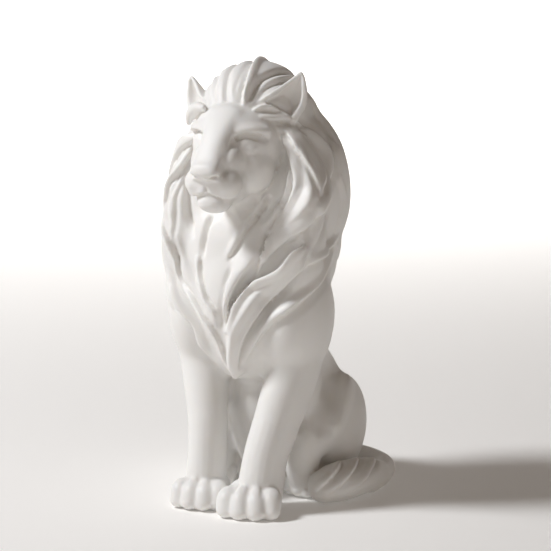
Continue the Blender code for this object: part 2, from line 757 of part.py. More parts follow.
def back_locks(skin):
    """Two overlapping rows of locks that hang round the back, swaying in turn."""
    locks = []
    for k in range(9):
        turn = 96 + 20 * k
        sway = 6 * math.sin(1.9 * k)
        tip = 162 + 5 * math.cos(2.3 * k)
        bend = turn - 0.6 * sway
        path = ((turn, 246), (turn + sway, 226), (turn + 4, 204), (bend, 184), (turn - 3, tip))
        spots = [skin.on_mane(*point) for point in path]
        locks.append(lay_lock(skin, spots, 8.5, 3.4, 0.4, 0.5 if k % 2 else -0.5))
    for k in range(8):
        turn = 106 + 20.3 * k
        sway = 5 * math.cos(1.3 * k)
        path = ((turn - 2, 286), (turn + sway, 262), (turn + 3, 240), (turn - sway, 216), (turn, 178))
        spots = [skin.on_mane(*point) for point in path]
        locks.append(lay_lock(skin, spots, 8.0, 3.4, 1.2, -0.5 if k % 2 else 0.5))
    return locks


# Lines pressed into the finished form


def side_height(distance, height, reach, other):
    """Height on one side of a stroke. A raised side next to a sunk one ends in a rounded edge."""
    share = np.clip(distance / reach, 0, 1)
    if height > 0 > other:
        rise = np.sin(math.pi / 2 * np.clip(share / EDGE_SHARE, 0, 1))
        fall = np.cos(math.pi / 2 * np.clip((share - EDGE_SHARE) / (1 - EDGE_SHARE), 0, 1))
        return height * rise * fall
    return height * (1 - share) ** 1.4


def stroke(points, skin, left, right, path):
    """How far a stroke along a path of the skin moves each point: heights on its left and right."""
    line = curve_through(path, 70)[:, :3]
    spots = [skin.nearest(point) for point in line]
    line = np.array([spot for spot, _ in spots])
    across = unit_rows(np.cross(unit_rows(np.gradient(line, axis=0)), np.array([n for _, n in spots])))
    reach = max(left[1], right[1])
    inside = ((points > line.min(axis=0) - reach) & (points < line.max(axis=0) + reach)).all(axis=1)
    near = np.flatnonzero(inside)
    spots = points[near]
    closest = np.full(len(near), 1e9)
    along = np.zeros(len(near))
    signed = np.zeros(len(near))
    for i in range(len(line) - 1):
        step = line[i + 1] - line[i]
        share = np.clip(((spots - line[i]) @ step) / max(step @ step, 1e-9), 0, 1)
        away = spots - line[i] - share[:, None] * step
        gap = np.linalg.norm(away, axis=1)
        nearer = gap < closest
        closest[nearer] = gap[nearer]
        along[nearer] = ((i + share) / (len(line) - 1))[nearer]
        signed[nearer] = (away @ across[i])[nearer]
    fade = np.sin(math.pi / 2 * np.clip(along / 0.15, 0, 1)) * np.clip((1 - along) / 0.25, 0, 1) ** 0.7
    on_left = side_height(closest, *left, right[0])
    on_right = side_height(closest, *right, left[0])
    moved = np.zeros(len(points))
    moved[near] = fade * np.where(signed > 0, on_left, on_right)
    return moved


def lock_masses(skin):
    """The long locks as ropes, sunk in the mane until only their rise stands out."""
    pieces = []
    for rise, path in LOCKS:
        stations = []
        for turn, height, radius in path:
            spot, normal = skin.nearest(skin.on_mane(turn, height))
            stations.append((*(spot + normal * (min(rise, LOCK_RISE * radius) - radius)), radius))
        pieces += limb("lock", stations)
    return pieces


def carve_strokes(piece, strokes):
    """Moves the surface along its smooth normals by the sum of the strokes."""
    skin = Skin(piece)
    points = points_of(piece)
    normals = np.empty(len(points) * 3, np.float32)
    piece.data.vertices.foreach_get("normal", normals)
    normals = normals.reshape(-1, 3).astype(float)
    total = np.zeros(len(points))
    for left, right, path in strokes:
        total += stroke(points, skin, left, right, path)
    place_points(piece.data, points + normals * total[:, None])


def cut(share, side):
    """A stroke's side with its height cut by the share."""
    height, reach = side
    return share * height, reach


def mane_strokes(skin):
    """Every stroke of the mane with its points found on the smooth mane."""
    strokes = []
    for left, right, path in STROKES:
        spots = [skin.on_mane(*spot) for spot in path]
        strokes.append((cut(MANE_CUT, left), cut(MANE_CUT, right), spots))
    for left, right, path in CROWN_STROKES:
        spots = [skin.on_crown(*spot) for spot in path]
        strokes.append((cut(CROWN_CUT, left), cut(CROWN_CUT, right), spots))
    return strokes


def collar_strokes(skin):
    """The hollow that follows the face on both sides."""
    strokes = []
    for left, right, path in COLLAR_STROKES:
        for side in LEFT_AND_RIGHT:
            strokes.append((left, right, [skin.on_mane(side * turn, height) for turn, height in path]))
    return strokes


def press(piece, path, width, depth):
    """Presses a soft groove along a path, or raises a ridge where the depth is under 0."""
    line = curve_through(path, 60)
    points = points_of(piece)
    inside = ((points > line.min(axis=0) - 2 * width) & (points < line.max(axis=0) + 2 * width)).all(axis=1)
    near = np.flatnonzero(inside)
    if not len(near):
        return
    normals = np.array([piece.data.vertices[i].normal for i in near])
    spots = points[near]
    closest = np.full(len(near), 1e9)
    for start, end in zip(line[:-1], line[1:]):
        step = end - start
        share = np.clip(((spots - start) @ step) / max(step @ step, 1e-9), 0, 1)
        closest = np.minimum(closest, np.linalg.norm(spots - start - share[:, None] * step, axis=1))
    fade = np.clip(1 - (closest / width) ** 2, 0, 1) ** 2
    points[near] = spots - normals * (fade * depth)[:, None]
    place_points(piece.data, points)


# Strands of the tail's tuft, from its top at the back to its foot in front: left, right, then points
TUFT_STROKES = (
    ((1.8, 5), (-2.2, 5), ((68, 46, 21), (73, 30, 19), (73, 14, 13), (66, 0, 7))),
    ((1.8, 5), (-2.2, 5), ((62, 32, 26), (68, 16, 23), (66, 2, 16), (58, -8, 8))),
    ((1.6, 5), (-2.0, 5), ((57, 16, 27), (61, 4, 23), (57, -7, 16), (50, -12, 9))),
)


def body_lines(piece):
    """The crease behind each shoulder, the crest of each thigh and the strands of the tail's tuft."""
    for side in LEFT_AND_RIGHT:
        crest = [(44 * side, 54, 76), (46.5 * side, 46, 69), (48 * side, 36, 59), (49.5 * side, 24, 47)]
        press(piece, crest, width=9, depth=-2.4)
        hollow = [(36 * side, 46, 79), (41 * side, 28, 65), (45.5 * side, 10, 51)]
        press(piece, hollow, width=12, depth=2.6)
    carve_strokes(piece, TUFT_STROKES)


def face_lines(piece):
    press(piece, [(0, -73, 222.5), (0, -68, 218.5), (0, -65.5, 215.5)], width=1.5, depth=1.2)
    for side in LEFT_AND_RIGHT:
        slot = [
            (9.4 * side, -46.5, 243),
            (13 * side, -46, 247.6),
            (18 * side, -43.6, 248.8),
            (25 * side, -39, 246.6),
        ]
        press(piece, slot, width=1.8, depth=1.8)
        nostril = [(3 * side, -72, 222.6), (6 * side, -70.5, 223.6), (9 * side, -67.5, 225)]
        press(piece, nostril, width=1.7, depth=2.0)
        wing = [(10.4 * side, -67, 223.6), (11.6 * side, -62, 227.5), (11.2 * side, -57, 231)]
        press(piece, wing, width=2.0, depth=0.5)


# Putting it together


# The small tuft in front of the right ear
TEMPLE_TUFT = (
    (-18, -37, 265, 2),
    (-25, -31, 264.5, 3.4),
    (-31, -27, 261.5, 4.2),
    (-35, -25, 257, 3.4),
    (-36, -25, 253, 2),
)


def carve(grain):
    """The whole figure as one skin, at the grain given."""
    core = fuse(body_masses() + mane_masses(), "core", CORE_GRAIN, CORE_SOFTEN)
    smooth_mane = Skin(core)
    locks = flank_locks(smooth_mane) + back_locks(smooth_mane)
    apply_modifier(core, "SUBSURF", levels=1, render_levels=1)
    core = fuse([core] + lock_masses(smooth_mane), "core", grain, LOCK_SOFTEN)
    ropes_skin = Skin(core)
    carve_strokes(core, collar_strokes(ropes_skin))
    carve_strokes(core, mane_strokes(ropes_skin))
    pieces = [core] + face(grain) + ears() + feet(grain) + tail() + locks
    pieces += limb("temple_tuft", TEMPLE_TUFT)
    figure = fuse(pieces, "lion", grain, FIGURE_SOFTEN)
    face_lines(figure)
    body_lines(figure)
    return figure


def keep_largest(piece):
    """Drops any loose scrap or closed bubble left by the fusing."""
    form = bmesh.new()
    form.from_mesh(piece.data)
    form.verts.ensure_lookup_table()
    unseen = set(form.verts)
    islands = []
    while unseen:
        start = unseen.pop()
        island = {start}
        edge_of_search = [start]
        while edge_of_search:
            vertex = edge_of_search.pop()
            for edge in vertex.link_edges:
                other = edge.other_vert(vertex)
                if other in unseen:
                    unseen.discard(other)
                    island.add(other)
                    edge_of_search.append(other)
        islands.append(island)
    islands.sort(key=len)
    for island in islands[:-1]:
        bmesh.ops.delete(form, geom=list(island), context="VERTS")
    form.to_mesh(piece.data)
    form.free()


def cut_underside(piece):
    """Cuts everything under the ground away, so that paws, haunches and tail stand flat."""
    box = bmesh.new()
    bmesh.ops.create_cube(box, size=1.0)
    bmesh.ops.scale(box, vec=(1.5 * HEIGHT, 1.5 * HEIGHT, 0.2 * HEIGHT), verts=box.verts)
    bmesh.ops.translate(box, vec=(0, 0, -0.1 * HEIGHT), verts=box.verts)
    mesh = bpy.data.meshes.new("ground")
    box.to_mesh(mesh)
    box.free()
    ground = link(mesh, "ground")
    apply_modifier(piece, "BOOLEAN", object=ground, operation="DIFFERENCE", solver="EXACT")
    remove(ground)


def stand_on_origin(piece):
    """Puts the middle of the bounding box's underside at the origin."""
    points = points_of(piece)
    low = points.min(axis=0)
    high = points.max(axis=0)
    middle = (low + high) / 2
    place_points(piece.data, points - (middle[0], middle[1], low[2]))


def resin():
    material = bpy.data.materials.new("white_resin")
    material.use_nodes = True
    shader = material.node_tree.nodes["Principled BSDF"]
    shader.inputs["Base Color"].default_value = RESIN_COLOUR
    shader.inputs["Roughness"].default_value = RESIN_ROUGHNESS
    shader.inputs["Metallic"].default_value = 0.0
    material.diffuse_color = RESIN_COLOUR
    return material


def clear_scene():
    for piece in list(bpy.data.objects):
        bpy.data.objects.remove(piece)


def main():
    clear_scene()
    figure = carve(FORM_GRAIN)
    keep_largest(figure)
    triangles = 2 * len(figure.data.polygons)
    apply_modifier(figure, "DECIMATE", ratio=TRIANGLES / triangles)
    cut_underside(figure)
    stand_on_origin(figure)
    figure.data.shade_smooth()
    figure.data.materials.clear()
    figure.data.materials.append(resin())
    figure.name = "lion"
    figure.data.name = "lion"
    home = bpy.data.collections.new("lion_sculpture")
    bpy.context.scene.collection.children.link(home)
    home.objects.link(figure)
    bpy.context.scene.collection.objects.unlink(figure)
    print("triangles:", len(figure.data.loop_triangles) or len(figure.data.polygons))


if __name__ == "__main__":
    main()
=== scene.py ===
# %% [markdown]
# # Sitting lion in white resin
# The real object is a shelf figure cast in one piece: white, stone-filled resin, poured into a
# mould that was taken from a carved model. So there is one piece, and all of the work is in its
# carving: the face, the paws and the long overlapping locks of the mane.
# The frame holds the plain solid. This script carves the same figure again at a finer grain, puts
# it in the solid's place, and gives it its finish, a floor, studio light and a camera.

# %% Load the frame
import json
import math

import bpy
import numpy as np
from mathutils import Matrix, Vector
from mathutils.bvhtree import BVHTree

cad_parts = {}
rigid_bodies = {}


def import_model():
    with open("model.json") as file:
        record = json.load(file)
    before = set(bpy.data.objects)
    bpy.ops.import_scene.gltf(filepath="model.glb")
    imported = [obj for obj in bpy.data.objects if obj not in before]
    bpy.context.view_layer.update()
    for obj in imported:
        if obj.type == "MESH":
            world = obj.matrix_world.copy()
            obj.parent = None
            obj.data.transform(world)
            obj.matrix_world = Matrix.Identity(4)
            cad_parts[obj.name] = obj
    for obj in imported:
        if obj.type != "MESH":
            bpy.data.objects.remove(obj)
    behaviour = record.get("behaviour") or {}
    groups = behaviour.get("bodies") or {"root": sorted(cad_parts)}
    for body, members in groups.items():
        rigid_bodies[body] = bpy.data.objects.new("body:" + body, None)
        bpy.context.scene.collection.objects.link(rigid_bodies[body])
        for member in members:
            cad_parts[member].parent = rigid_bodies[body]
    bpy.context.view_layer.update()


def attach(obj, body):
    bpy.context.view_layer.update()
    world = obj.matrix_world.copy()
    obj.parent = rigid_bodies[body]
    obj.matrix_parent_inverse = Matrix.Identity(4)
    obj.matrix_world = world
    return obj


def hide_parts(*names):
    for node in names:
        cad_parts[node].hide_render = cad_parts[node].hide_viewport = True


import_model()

# %% [markdown]
# ## Sizes
# The height is the one real size. All carving is written in units that are millimetres at this
# height, in a frame where the lion looks toward -Y and +X is its left. A grain is how far apart the
# points of a fused surface are: at 0.85 mm a lock's edge still reads as an edge. Each fused surface
# is softened by as many rounds as its name below says.

# %% Sizes
HEIGHT = 0.295
UNIT = HEIGHT / 295
CORE_GRAIN = 2.4
HEAD_GRAIN = 1.2
FORM_GRAIN = 0.85
CORE_SOFTEN = 12
HEAD_SOFTEN = 12
LOCK_SOFTEN = 6
FEET_SOFTEN = 3
FIGURE_SOFTEN = 1
AXIS_Y = 10.0
CROWN_Z = 240.0
CROWN_HALF = 46
FAR_OUT = 200
LEFT_AND_RIGHT = (1, -1)

# %% [markdown]
# ## Working on one piece at a time
# Blender's operators act on whatever is selected, so each step first selects only its own piece.
# A modifier is added, set and applied at once, because the next step reads the shaped points.

# %% Selecting, shaping and joining
def choose(*pieces):
    bpy.ops.object.select_all(action="DESELECT")
    for piece in pieces:
        piece.select_set(True)
    bpy.context.view_layer.objects.active = pieces[0]


def edit_whole(*pieces):
    choose(*pieces)
    bpy.ops.object.mode_set(mode="EDIT")
    bpy.ops.mesh.select_all(action="SELECT")


def shape_with(piece, kind, **settings):
    choose(piece)
    bpy.ops.object.modifier_add(type=kind)
    modifier = piece.modifiers[-1]
    for setting, value in settings.items():
        setattr(modifier, setting, value)
    bpy.ops.object.modifier_apply(modifier=modifier.name)


def read(piece, what):
    """The "co" or the "normal" of every point."""
    flat = np.empty(len(piece.data.vertices) * 3, np.float32)
    piece.data.vertices.foreach_get(what, flat)
    return flat.reshape(-1, 3).astype(float)


def points_of(piece):
    return read(piece, "co") / UNIT


def place_points(piece, points):
    piece.data.vertices.foreach_set("co", (points * UNIT).astype(np.float32).ravel())
    piece.data.update()


def fuse(pieces, name, grain, soften):
    """Joins closed shapes into one even skin, as wet clay is pressed together, and softens it."""
    choose(*pieces)
    bpy.ops.object.join()
    whole = bpy.context.object
    whole.name = name
    shape_with(whole, "REMESH", mode="VOXEL", voxel_size=grain * UNIT)
    shape_with(whole, "SMOOTH", factor=0.5, iterations=soften)
    return whole


# %% [markdown]
# ## Lumps of clay
# A sculptor starts from lumps. Each lump here is a UV sphere that is stretched and turned. Some
# lumps are squarer than an ellipsoid: their points are pushed out toward the corners first.

# %% Lumps
LUMP_SIDES = 32
LUMP_RINGS = 20


def ball(name, around, rings):
    """A new sphere of radius 1, and its points."""
    bpy.ops.mesh.primitive_uv_sphere_add(segments=around, ring_count=rings, radius=1)
    piece = bpy.context.object
    piece.name = name
    return piece, read(piece, "co")


def lump(name, centre, radii, turn=(0, 0, 0), square=2.0):
    piece, points = ball(name, LUMP_SIDES, LUMP_RINGS)
    length = (np.abs(points) ** square).sum(axis=1) ** (1 / square)
    piece.data.vertices.foreach_set("co", (points / length[:, None]).astype(np.float32).ravel())
    piece.location = Vector(centre) * UNIT
    piece.rotation_euler = [math.radians(angle) for angle in turn]
    piece.scale = Vector(radii) * UNIT
    bpy.ops.object.transform_apply(location=True, rotation=True, scale=True)
    return piece


def pair(name, centre, radii, turn=(0, 0, 0)):
    """A lump on the lion's left and its mirror image on the right."""
    x, y, z = centre
    tilt, lean, swing = turn
    left = lump(name, centre, radii, turn)
    return [left, lump(name, (-x, y, z), radii, (tilt, -lean, -swing))]


# %% [markdown]
# ## Skins through rings
# Legs, toes, ears and locks are all closed skins through a row of rings. Each starts as a UV sphere
# with as many rings as are wanted: every point moves to its place on its ring, and the two poles go
# to the middle of the last ring on their side. Then the faces are turned to look outward.

# %% Smooth curves and skins
STATION_STEPS = 24


def curve_through(stations, count):
    """Even points on a smooth curve through the stations. Columns such as widths go along."""
    rows = np.array(stations, float)
    first = 2 * rows[0] - rows[1]
    last = 2 * rows[-1] - rows[-2]
    rows = np.vstack([first, rows, last])
    steps = np.linspace(0, 1, STATION_STEPS, endpoint=False)[:, None]
    spans = []
    for i in range(1, len(rows) - 2):
        before, start, end, after = rows[i - 1 : i + 3]
        bend = 2 * before - 5 * start + 4 * end - after
        twist = 3 * start - before - 3 * end + after
        spans.append(start + 0.5 * ((end - before) * steps + bend * steps**2 + twist * steps**3))
    fine = np.vstack(spans + [rows[-2][None]])
    gaps = np.linalg.norm(np.diff(fine[:, :3], axis=0), axis=1)
    along = np.concatenate([[0.0], np.cumsum(gaps)])
    wanted = np.linspace(0, along[-1], count)
    return np.stack([np.interp(wanted, along, column) for column in fine.T], axis=1)


def unit_rows(rows):
    return rows / np.maximum(np.linalg.norm(rows, axis=1), 1e-9)[:, None]


def skin_through(rings, name):
    """A closed skin through rings that have the same number of points."""
    rings = np.array(rings)
    count, around = rings.shape[:2]
    piece, points = ball(name, around, count + 1)
    ring = np.rint(np.arccos(np.clip(-points[:, 2], -1, 1)) / math.pi * (count + 1)).astype(int) - 1
    pole = (ring < 0) | (ring >= count)
    angle = np.arctan2(points[:, 1], points[:, 0])
    angle -= angle[~pole][0]
    turn = np.rint(angle / (2 * math.pi) * around).astype(int) % around
    ring = np.clip(ring, 0, count - 1)
    place_points(piece, np.where(pole[:, None], rings.mean(axis=1)[ring], rings[ring, turn]))
    edit_whole(piece)
    bpy.ops.mesh.normals_make_consistent(inside=False)
    bpy.ops.object.mode_set(mode="OBJECT")
    return piece


def smooth_rings(rings, count):
    """More rings, on smooth curves through the points of the ones given."""
    tracks = [curve_through(track, count) for track in np.swapaxes(np.array(rings), 0, 1)]
    return list(np.swapaxes(np.array(tracks), 0, 1))


# %% [markdown]
# ## Limbs
# Legs, toes and the tail are told by a few stations: where they pass and how thick they are there.
# A smooth curve goes through the stations, a ring stands across it at each step, and a flattened
# sphere closes each end. A limb with square corners, such as the nose's bridge, has squarer rings.

# %% Limbs
LIMB_SIDES = 20
CAP_RINGS = 12


def limb(name, stations, count=40, square=2.0):
    """A limb through stations of (x, y, z, radius) or (x, y, z, half width, half depth)."""
    rows = [(*station, station[3]) if len(station) == 4 else station for station in stations]
    line = curve_through(rows, count)
    ahead = unit_rows(np.gradient(line[:, :3], axis=0))
    sideways = np.array((1.0, 0, 0))
    across = unit_rows(sideways - (ahead @ sideways)[:, None] * ahead)
    deep = np.cross(ahead, across)
    turns = np.linspace(0, 2 * math.pi, LIMB_SIDES, endpoint=False)
    circle = np.stack([np.cos(turns), np.sin(turns)])
    circle = circle / (np.abs(circle) ** square).sum(axis=0) ** (1 / square)
    wide = across[:, None] * (circle[0][None, :, None] * line[:, None, 3:4])
    thick = deep[:, None] * (circle[1][None, :, None] * line[:, None, 4:5])
    pieces = [skin_through(line[:, None, :3] + wide + thick, name)]
    for end in (0, -1):
        cap, points = ball(name + "_end", LIMB_SIDES, CAP_RINGS)
        width, depth = line[end, 3:5]
        axes = np.stack([across[end], deep[end], ahead[end]])
        place_points(cap, (points * (width, depth, min(width, depth))) @ axes + line[end, :3])
        pieces.append(cap)
    return pieces


def on_side(side, path):
    """The path, or its mirror image where the side is -1."""
    return [(side * row[0], *row[1:]) for row in path]


def limbs(name, stations, count=40):
    """A limb on the lion's left and its mirror image on the right."""
    pieces = []
    for side in LEFT_AND_RIGHT:
        pieces += limb(name, on_side(side, stations), count)
    return pieces


# %% [markdown]
# ## The body
# A sitting lion is a tall wedge: rump and folded thighs low behind, the back rising to the
# shoulders, the chest in front over two straight forelegs. The forelegs aren't a pair here. The
# left one stands a little further forward and outward, as in the photograph.

# %% The body's masses
LEFT_LEG = (
    (37, -8, 116, 16, 20), (35, -9, 96, 17, 20), (31.5, -17, 74, 16.2, 19.5),
    (28, -25, 54, 14.8, 18), (25, -32, 36, 14.2, 16.8), (23, -37, 12, 15, 17),
)
RIGHT_LEG = (
    (-38, -8, 116, 15, 19), (-34, -11, 96, 15.5, 18), (-28, -18, 74, 14.2, 16.5),
    (-22.5, -25, 54, 13, 15.5), (-19.5, -31, 36, 12.4, 15), (-18, -36, 12, 13.2, 15.5),
)
body = [
    lump("torso", (0, 20, 118), (45, 39, 52)),
    lump("loin", (0, 50, 60), (38, 36, 48), (18, 0, 0)),
    lump("rump", (0, 56, 34), (42, 38, 36)),
    lump("chest", (0, -5, 130), (38, 36, 50)),
    lump("gut", (0, 20, 62), (25, 30, 62)),
]
spine = [(0, 30, 150, 34, 22), (0, 38, 110, 32, 23), (0, 46, 82, 32, 23), (0, 54, 45, 38, 27)]
body += limb("back", spine)
body += pair("shoulder", (34, -6, 124), (24, 31, 42), (0, 6, 0))
body += pair("haunch", (34, 49, 40), (21, 31, 38), (-20, 0, 0))
body += pair("belly", (18, 44, 12), (26, 32, 20))
body += pair("flank", (25, 14, 74), (15, 22, 25))
thigh = [
    (33, 48, 46, 19, 23), (35, 28, 44, 17, 21), (34, 10, 38, 14.5, 17), (33, 4, 26, 12, 13),
    (33, 8, 12, 11, 11),
]
body += limbs("thigh", thigh)
body += limb("left_foreleg", LEFT_LEG)
body += limb("right_foreleg", RIGHT_LEG)
print("lumps in the body:", len(body))

# %% [markdown]
# ## The mane's mass
# Under its locks the mane is one smooth mass: a tall egg round the head, a bib down the chest that
# narrows to a point, and a ruff on each side where the hair stands out from the cheeks. It is fused
# with the body at a coarse grain and softened, so that the body's joints disappear.

# %% The mane's mass
bib_point = [
    (0, -26, 120, 22, 16), (1, -29, 106, 14, 11), (2.5, -31, 95, 7.5, 7), (4, -31.5, 88, 3, 4),
]
mane = [
    lump("mane", (0, 10, 206), (58, 44, 64), square=2.05),
    lump("mane_low", (0, 6, 168), (53, 46, 50), square=2.2),
    lump("bib", (0, -12, 140), (36, 34, 52)),
    lump("crown", (-1, 3, 249), (38, 42, 44.5), square=2.15),
]
mane += limb("bib_point", bib_point)
ruff = [
    (34, -12, 240, 9, 11), (42, -15, 214, 12.5, 16), (45, -16, 188, 13.5, 17.5),
    (43, -16, 164, 13.5, 17.5), (36, -14, 142, 12, 15),
]
mane += limbs("ruff", ruff)
core = fuse(body + mane, "core", CORE_GRAIN, CORE_SOFTEN)
print("core:", len(core.data.vertices), "points")

# %% [markdown]
# ## Pressing with a tool
# Creases and fine lines are pressed into a surface as with a modelling tool: points near a path
# move along their normals, most in the middle of the line. A negative depth pulls a ridge up.

# %% Pressed lines
PRESS_STEPS = 60


def measure(points, line, reach, across=None):
    """For the points near a line: their numbers, how far away each is and how far along the line,
    as a share. Where across gives the way to one side, also how far over to that side each is."""
    past_low = points > line.min(axis=0) - reach
    near = np.flatnonzero((past_low & (points < line.max(axis=0) + reach)).all(axis=1))
    spots = points[near]
    closest = np.full(len(near), 1e9)
    along = np.zeros(len(near))
    sideways = np.zeros(len(near))
    for i in range(len(line) - 1):
        step = line[i + 1] - line[i]
        share = np.clip(((spots - line[i]) @ step) / max(step @ step, 1e-9), 0, 1)
        away = spots - line[i] - share[:, None] * step
        gap = np.linalg.norm(away, axis=1)
        nearer = gap < closest
        closest[nearer] = gap[nearer]
        along[nearer] = ((i + share) / (len(line) - 1))[nearer]
        if across is not None:
            sideways[nearer] = (away @ across[i])[nearer]
    return near, closest, along, sideways


def press(piece, path, width, depth):
    line = curve_through(path, PRESS_STEPS)
    points = points_of(piece)
    near, closest, _, _ = measure(points, line, 2 * width)
    fade = np.clip(1 - (closest / width) ** 2, 0, 1) ** 2
    points[near] -= read(piece, "normal")[near] * (fade * depth)[:, None]
    place_points(piece, points)


def press_both(piece, lines):
    """Presses each line on the lion's left and its mirror image on the right."""
    for side in LEFT_AND_RIGHT:
        for width, depth, path in lines:
            press(piece, on_side(side, path), width, depth)


# %% [markdown]
# ## Paws
# A paw is a low lump with four toes. Each toe is a short limb that arches over its knuckle and
# ends low in front. The paws are softened into the ends of the legs first, and the three creases
# of each are pressed in afterwards, so that they stay crisp.

# %% Paws
TOES = ((-0.72, 0.8), (-0.26, 0.98), (0.26, 1.0), (0.72, 0.82))
# Each paw: place of its middle, yaw to the lion's left, half width, length ahead of it, height
PAWS = (
    ((20.5, -42), 18, 20.5, 25, 22),
    ((-18.0, -38.5), 12, 18.5, 24, 22),
    ((33, 17), 6, 14, 19, 20),
    ((-33, 17), -6, 14, 19, 20),
)
# A crease from the root to the ground: shares of its place across, of the paw's length and height
CREASE = ((0.8, 0.3, 0.98), (0.95, 0.62, 0.86), (1, 0.95, 0.62), (1, 1.08, 0.36), (1, 1.02, 0.08))


def paw_spot(centre, yaw, sideways, forward, up):
    """A place on a paw, measured from the paw's middle."""
    turn = math.radians(yaw)
    x = centre[0] + sideways * math.cos(turn) + forward * math.sin(turn)
    y = centre[1] + sideways * math.sin(turn) - forward * math.cos(turn)
    return x, y, up


def paw(centre, yaw, half, long, high):
    """A paw with four toes. It points the yaw, in degrees, to the lion's left of straight ahead."""

    def pad(sideways, forward, up, radii, tilt=0):
        middle = paw_spot(centre, yaw, sideways, forward, up)
        return lump("paw", middle, radii, (tilt, 0, yaw))

    toe = 0.3 * half
    pieces = [
        pad(0, -4, 0.48 * high, (0.9 * half, 0.76 * long, 0.56 * high)),
        pad(0, 0.2 * long, 0.56 * high, (0.88 * half, 0.54 * long, 0.4 * high), 14),
        pad(0, 0.3 * long, 0.16 * high, (0.84 * half, 0.56 * long, 0.2 * high)),
    ]
    for share, reach in TOES:
        tip = share * half
        forward = long * reach
        knuckle = (0.74 - 0.22 * abs(share)) * high
        track = (
            (0.62 * tip, -0.22 * long, 0.82 * knuckle, 0.8, 0.8),
            (0.84 * tip, 0.20 * forward, knuckle, 1.04, 1.0),
            (0.98 * tip, 0.54 * forward, 0.54 * high, 1.16, 1.18),
            (tip, 0.74 * forward, 0.26 * high, 1.14, 0.98),
        )
        stations = [
            (*paw_spot(centre, yaw, sideways, ahead, up), wide * toe, deep * toe)
            for sideways, ahead, up, wide, deep in track
        ]
        pieces += limb("paw_toe", stations, count=24)
    return pieces


feet = []
for sizes in PAWS:
    feet += paw(*sizes)
feet += limb("left_wrist", LEFT_LEG[-3:]) + limb("right_wrist", RIGHT_LEG[-3:])
for side in LEFT_AND_RIGHT:
    feet.append(lump("hind_foot", (32 * side, 36, 9), (11, 32, 11)))
feet = fuse(feet, "feet", FORM_GRAIN, FEET_SOFTEN)
for centre, yaw, half, long, high in PAWS:
    for middle in (-0.5, 0.0, 0.5):
        crease = [
            paw_spot(centre, yaw, middle * share * half, reach * long, up * high)
            for share, reach, up in CREASE
        ]
        press(feet, crease, width=2.4, depth=2.2)
print("feet:", len(feet.data.vertices), "points")

# %% [markdown]
# ## The tail
# The tail leaves the rump behind, lies on the ground round the left haunch and ends beside the hind
# paw in a thick tuft.

# %% The tail
rope = [
    (0, 82, 16, 9), (22, 88, 11, 8.5), (44, 86, 9, 8.3), (60, 74, 9, 8.3), (66, 56, 9, 9),
    (66, 40, 9, 10),
]
tuft = [
    (66, 50, 10, 10, 10), (64, 36, 12, 12.5, 12), (60, 20, 12.5, 14.5, 13), (56, 8, 12.5, 14, 13),
    (52, 0, 11.5, 11, 11.5),
]
tail = limb("tail", rope, count=60) + limb("tuft", tuft)

# %% [markdown]
# ## Finding the surface
# The mane's carving lies on what is under it. The skin of the bare form is put in a search tree,
# which finds the nearest point of it, or the first point that a straight line meets. A place on the
# mane is told by a turn round its upright axis and a height, as on a globe.

# %% The skin that is carved
class Skin:
    def __init__(self, piece):
        self.tree = BVHTree.FromObject(piece, bpy.context.evaluated_depsgraph_get())

    def nearest(self, point):
        spot, normal, _, _ = self.tree.find_nearest(Vector(point) * UNIT)
        return np.array(spot) / UNIT, np.array(normal)

    def follow(self, path, count):
        """Even points on the skin along a path, and the skin's normals there."""
        spots = [self.nearest(point) for point in curve_through(path, count)]
        return np.array([spot for spot, _ in spots]), np.array([normal for _, normal in spots])

    def facing(self, centre, direction):
        """The outermost point of the skin as seen from far out along the direction."""
        outward = np.array(direction, float)
        outward /= np.linalg.norm(outward)
        start = np.array(centre) + outward * FAR_OUT
        spot, _, _, _ = self.tree.ray_cast(Vector(start) * UNIT, Vector(-outward))
        return np.array(spot) / UNIT

    def on_mane(self, turn, height):
        """A point on the mane. The turn is in degrees from straight ahead, positive to the lion's
        left. Over CROWN_Z each further unit of height tilts the aim up by a degree."""
        tilt = math.radians(max(height - CROWN_Z, 0))
        angle = math.radians(turn)
        aim = (math.sin(angle) * math.cos(tilt), -math.cos(angle) * math.cos(tilt), math.sin(tilt))
        return self.facing((0, AXIS_Y, min(height, CROWN_Z)), aim)

    def mane_path(self, path):
        return [self.on_mane(turn, height) for turn, height in path]

    def on_crown(self, sideways, degrees):
        """A point over the crown: how far sideways, and the angle up from straight ahead."""
        angle = math.radians(degrees)
        aim = (sideways / CROWN_HALF, -math.cos(angle), math.sin(angle))
        return self.facing((0, AXIS_Y, CROWN_Z - 2), aim)


# %% [markdown]
# ## Carving strokes
# A knife stroke on a carved figure leaves two different sides: one side stands proud with a rounded
# edge and the other is sunk, and it is the shadow along this step that draws the hair. Each stroke
# has a height and a reach for its left and its right side. Two sunk sides make a groove, two raised
# sides a crest. All strokes are summed first, and the points move once, along their smooth normals.

# %% Strokes
STROKE_STEPS = 70
# Shares: of a raised side's reach that is its rounded edge, of a path that fades in and fades out
EDGE_SHARE = 0.18
FADE_IN = 0.15
FADE_OUT = 0.25


def left_of(line, normals):
    """The way to the left of a line that runs over a skin."""
    return unit_rows(np.cross(unit_rows(np.gradient(line, axis=0)), normals))


def side_height(distance, height, reach, other):
    """Height on one side of a stroke. A raised side next to a sunk one ends in a rounded edge."""
    share = np.clip(distance / reach, 0, 1)
    if height > 0 > other:
        rise = np.sin(math.pi / 2 * np.clip(share / EDGE_SHARE, 0, 1))
        fall = np.cos(math.pi / 2 * np.clip((share - EDGE_SHARE) / (1 - EDGE_SHARE), 0, 1))
        return height * rise * fall
    return height * (1 - share) ** 1.4


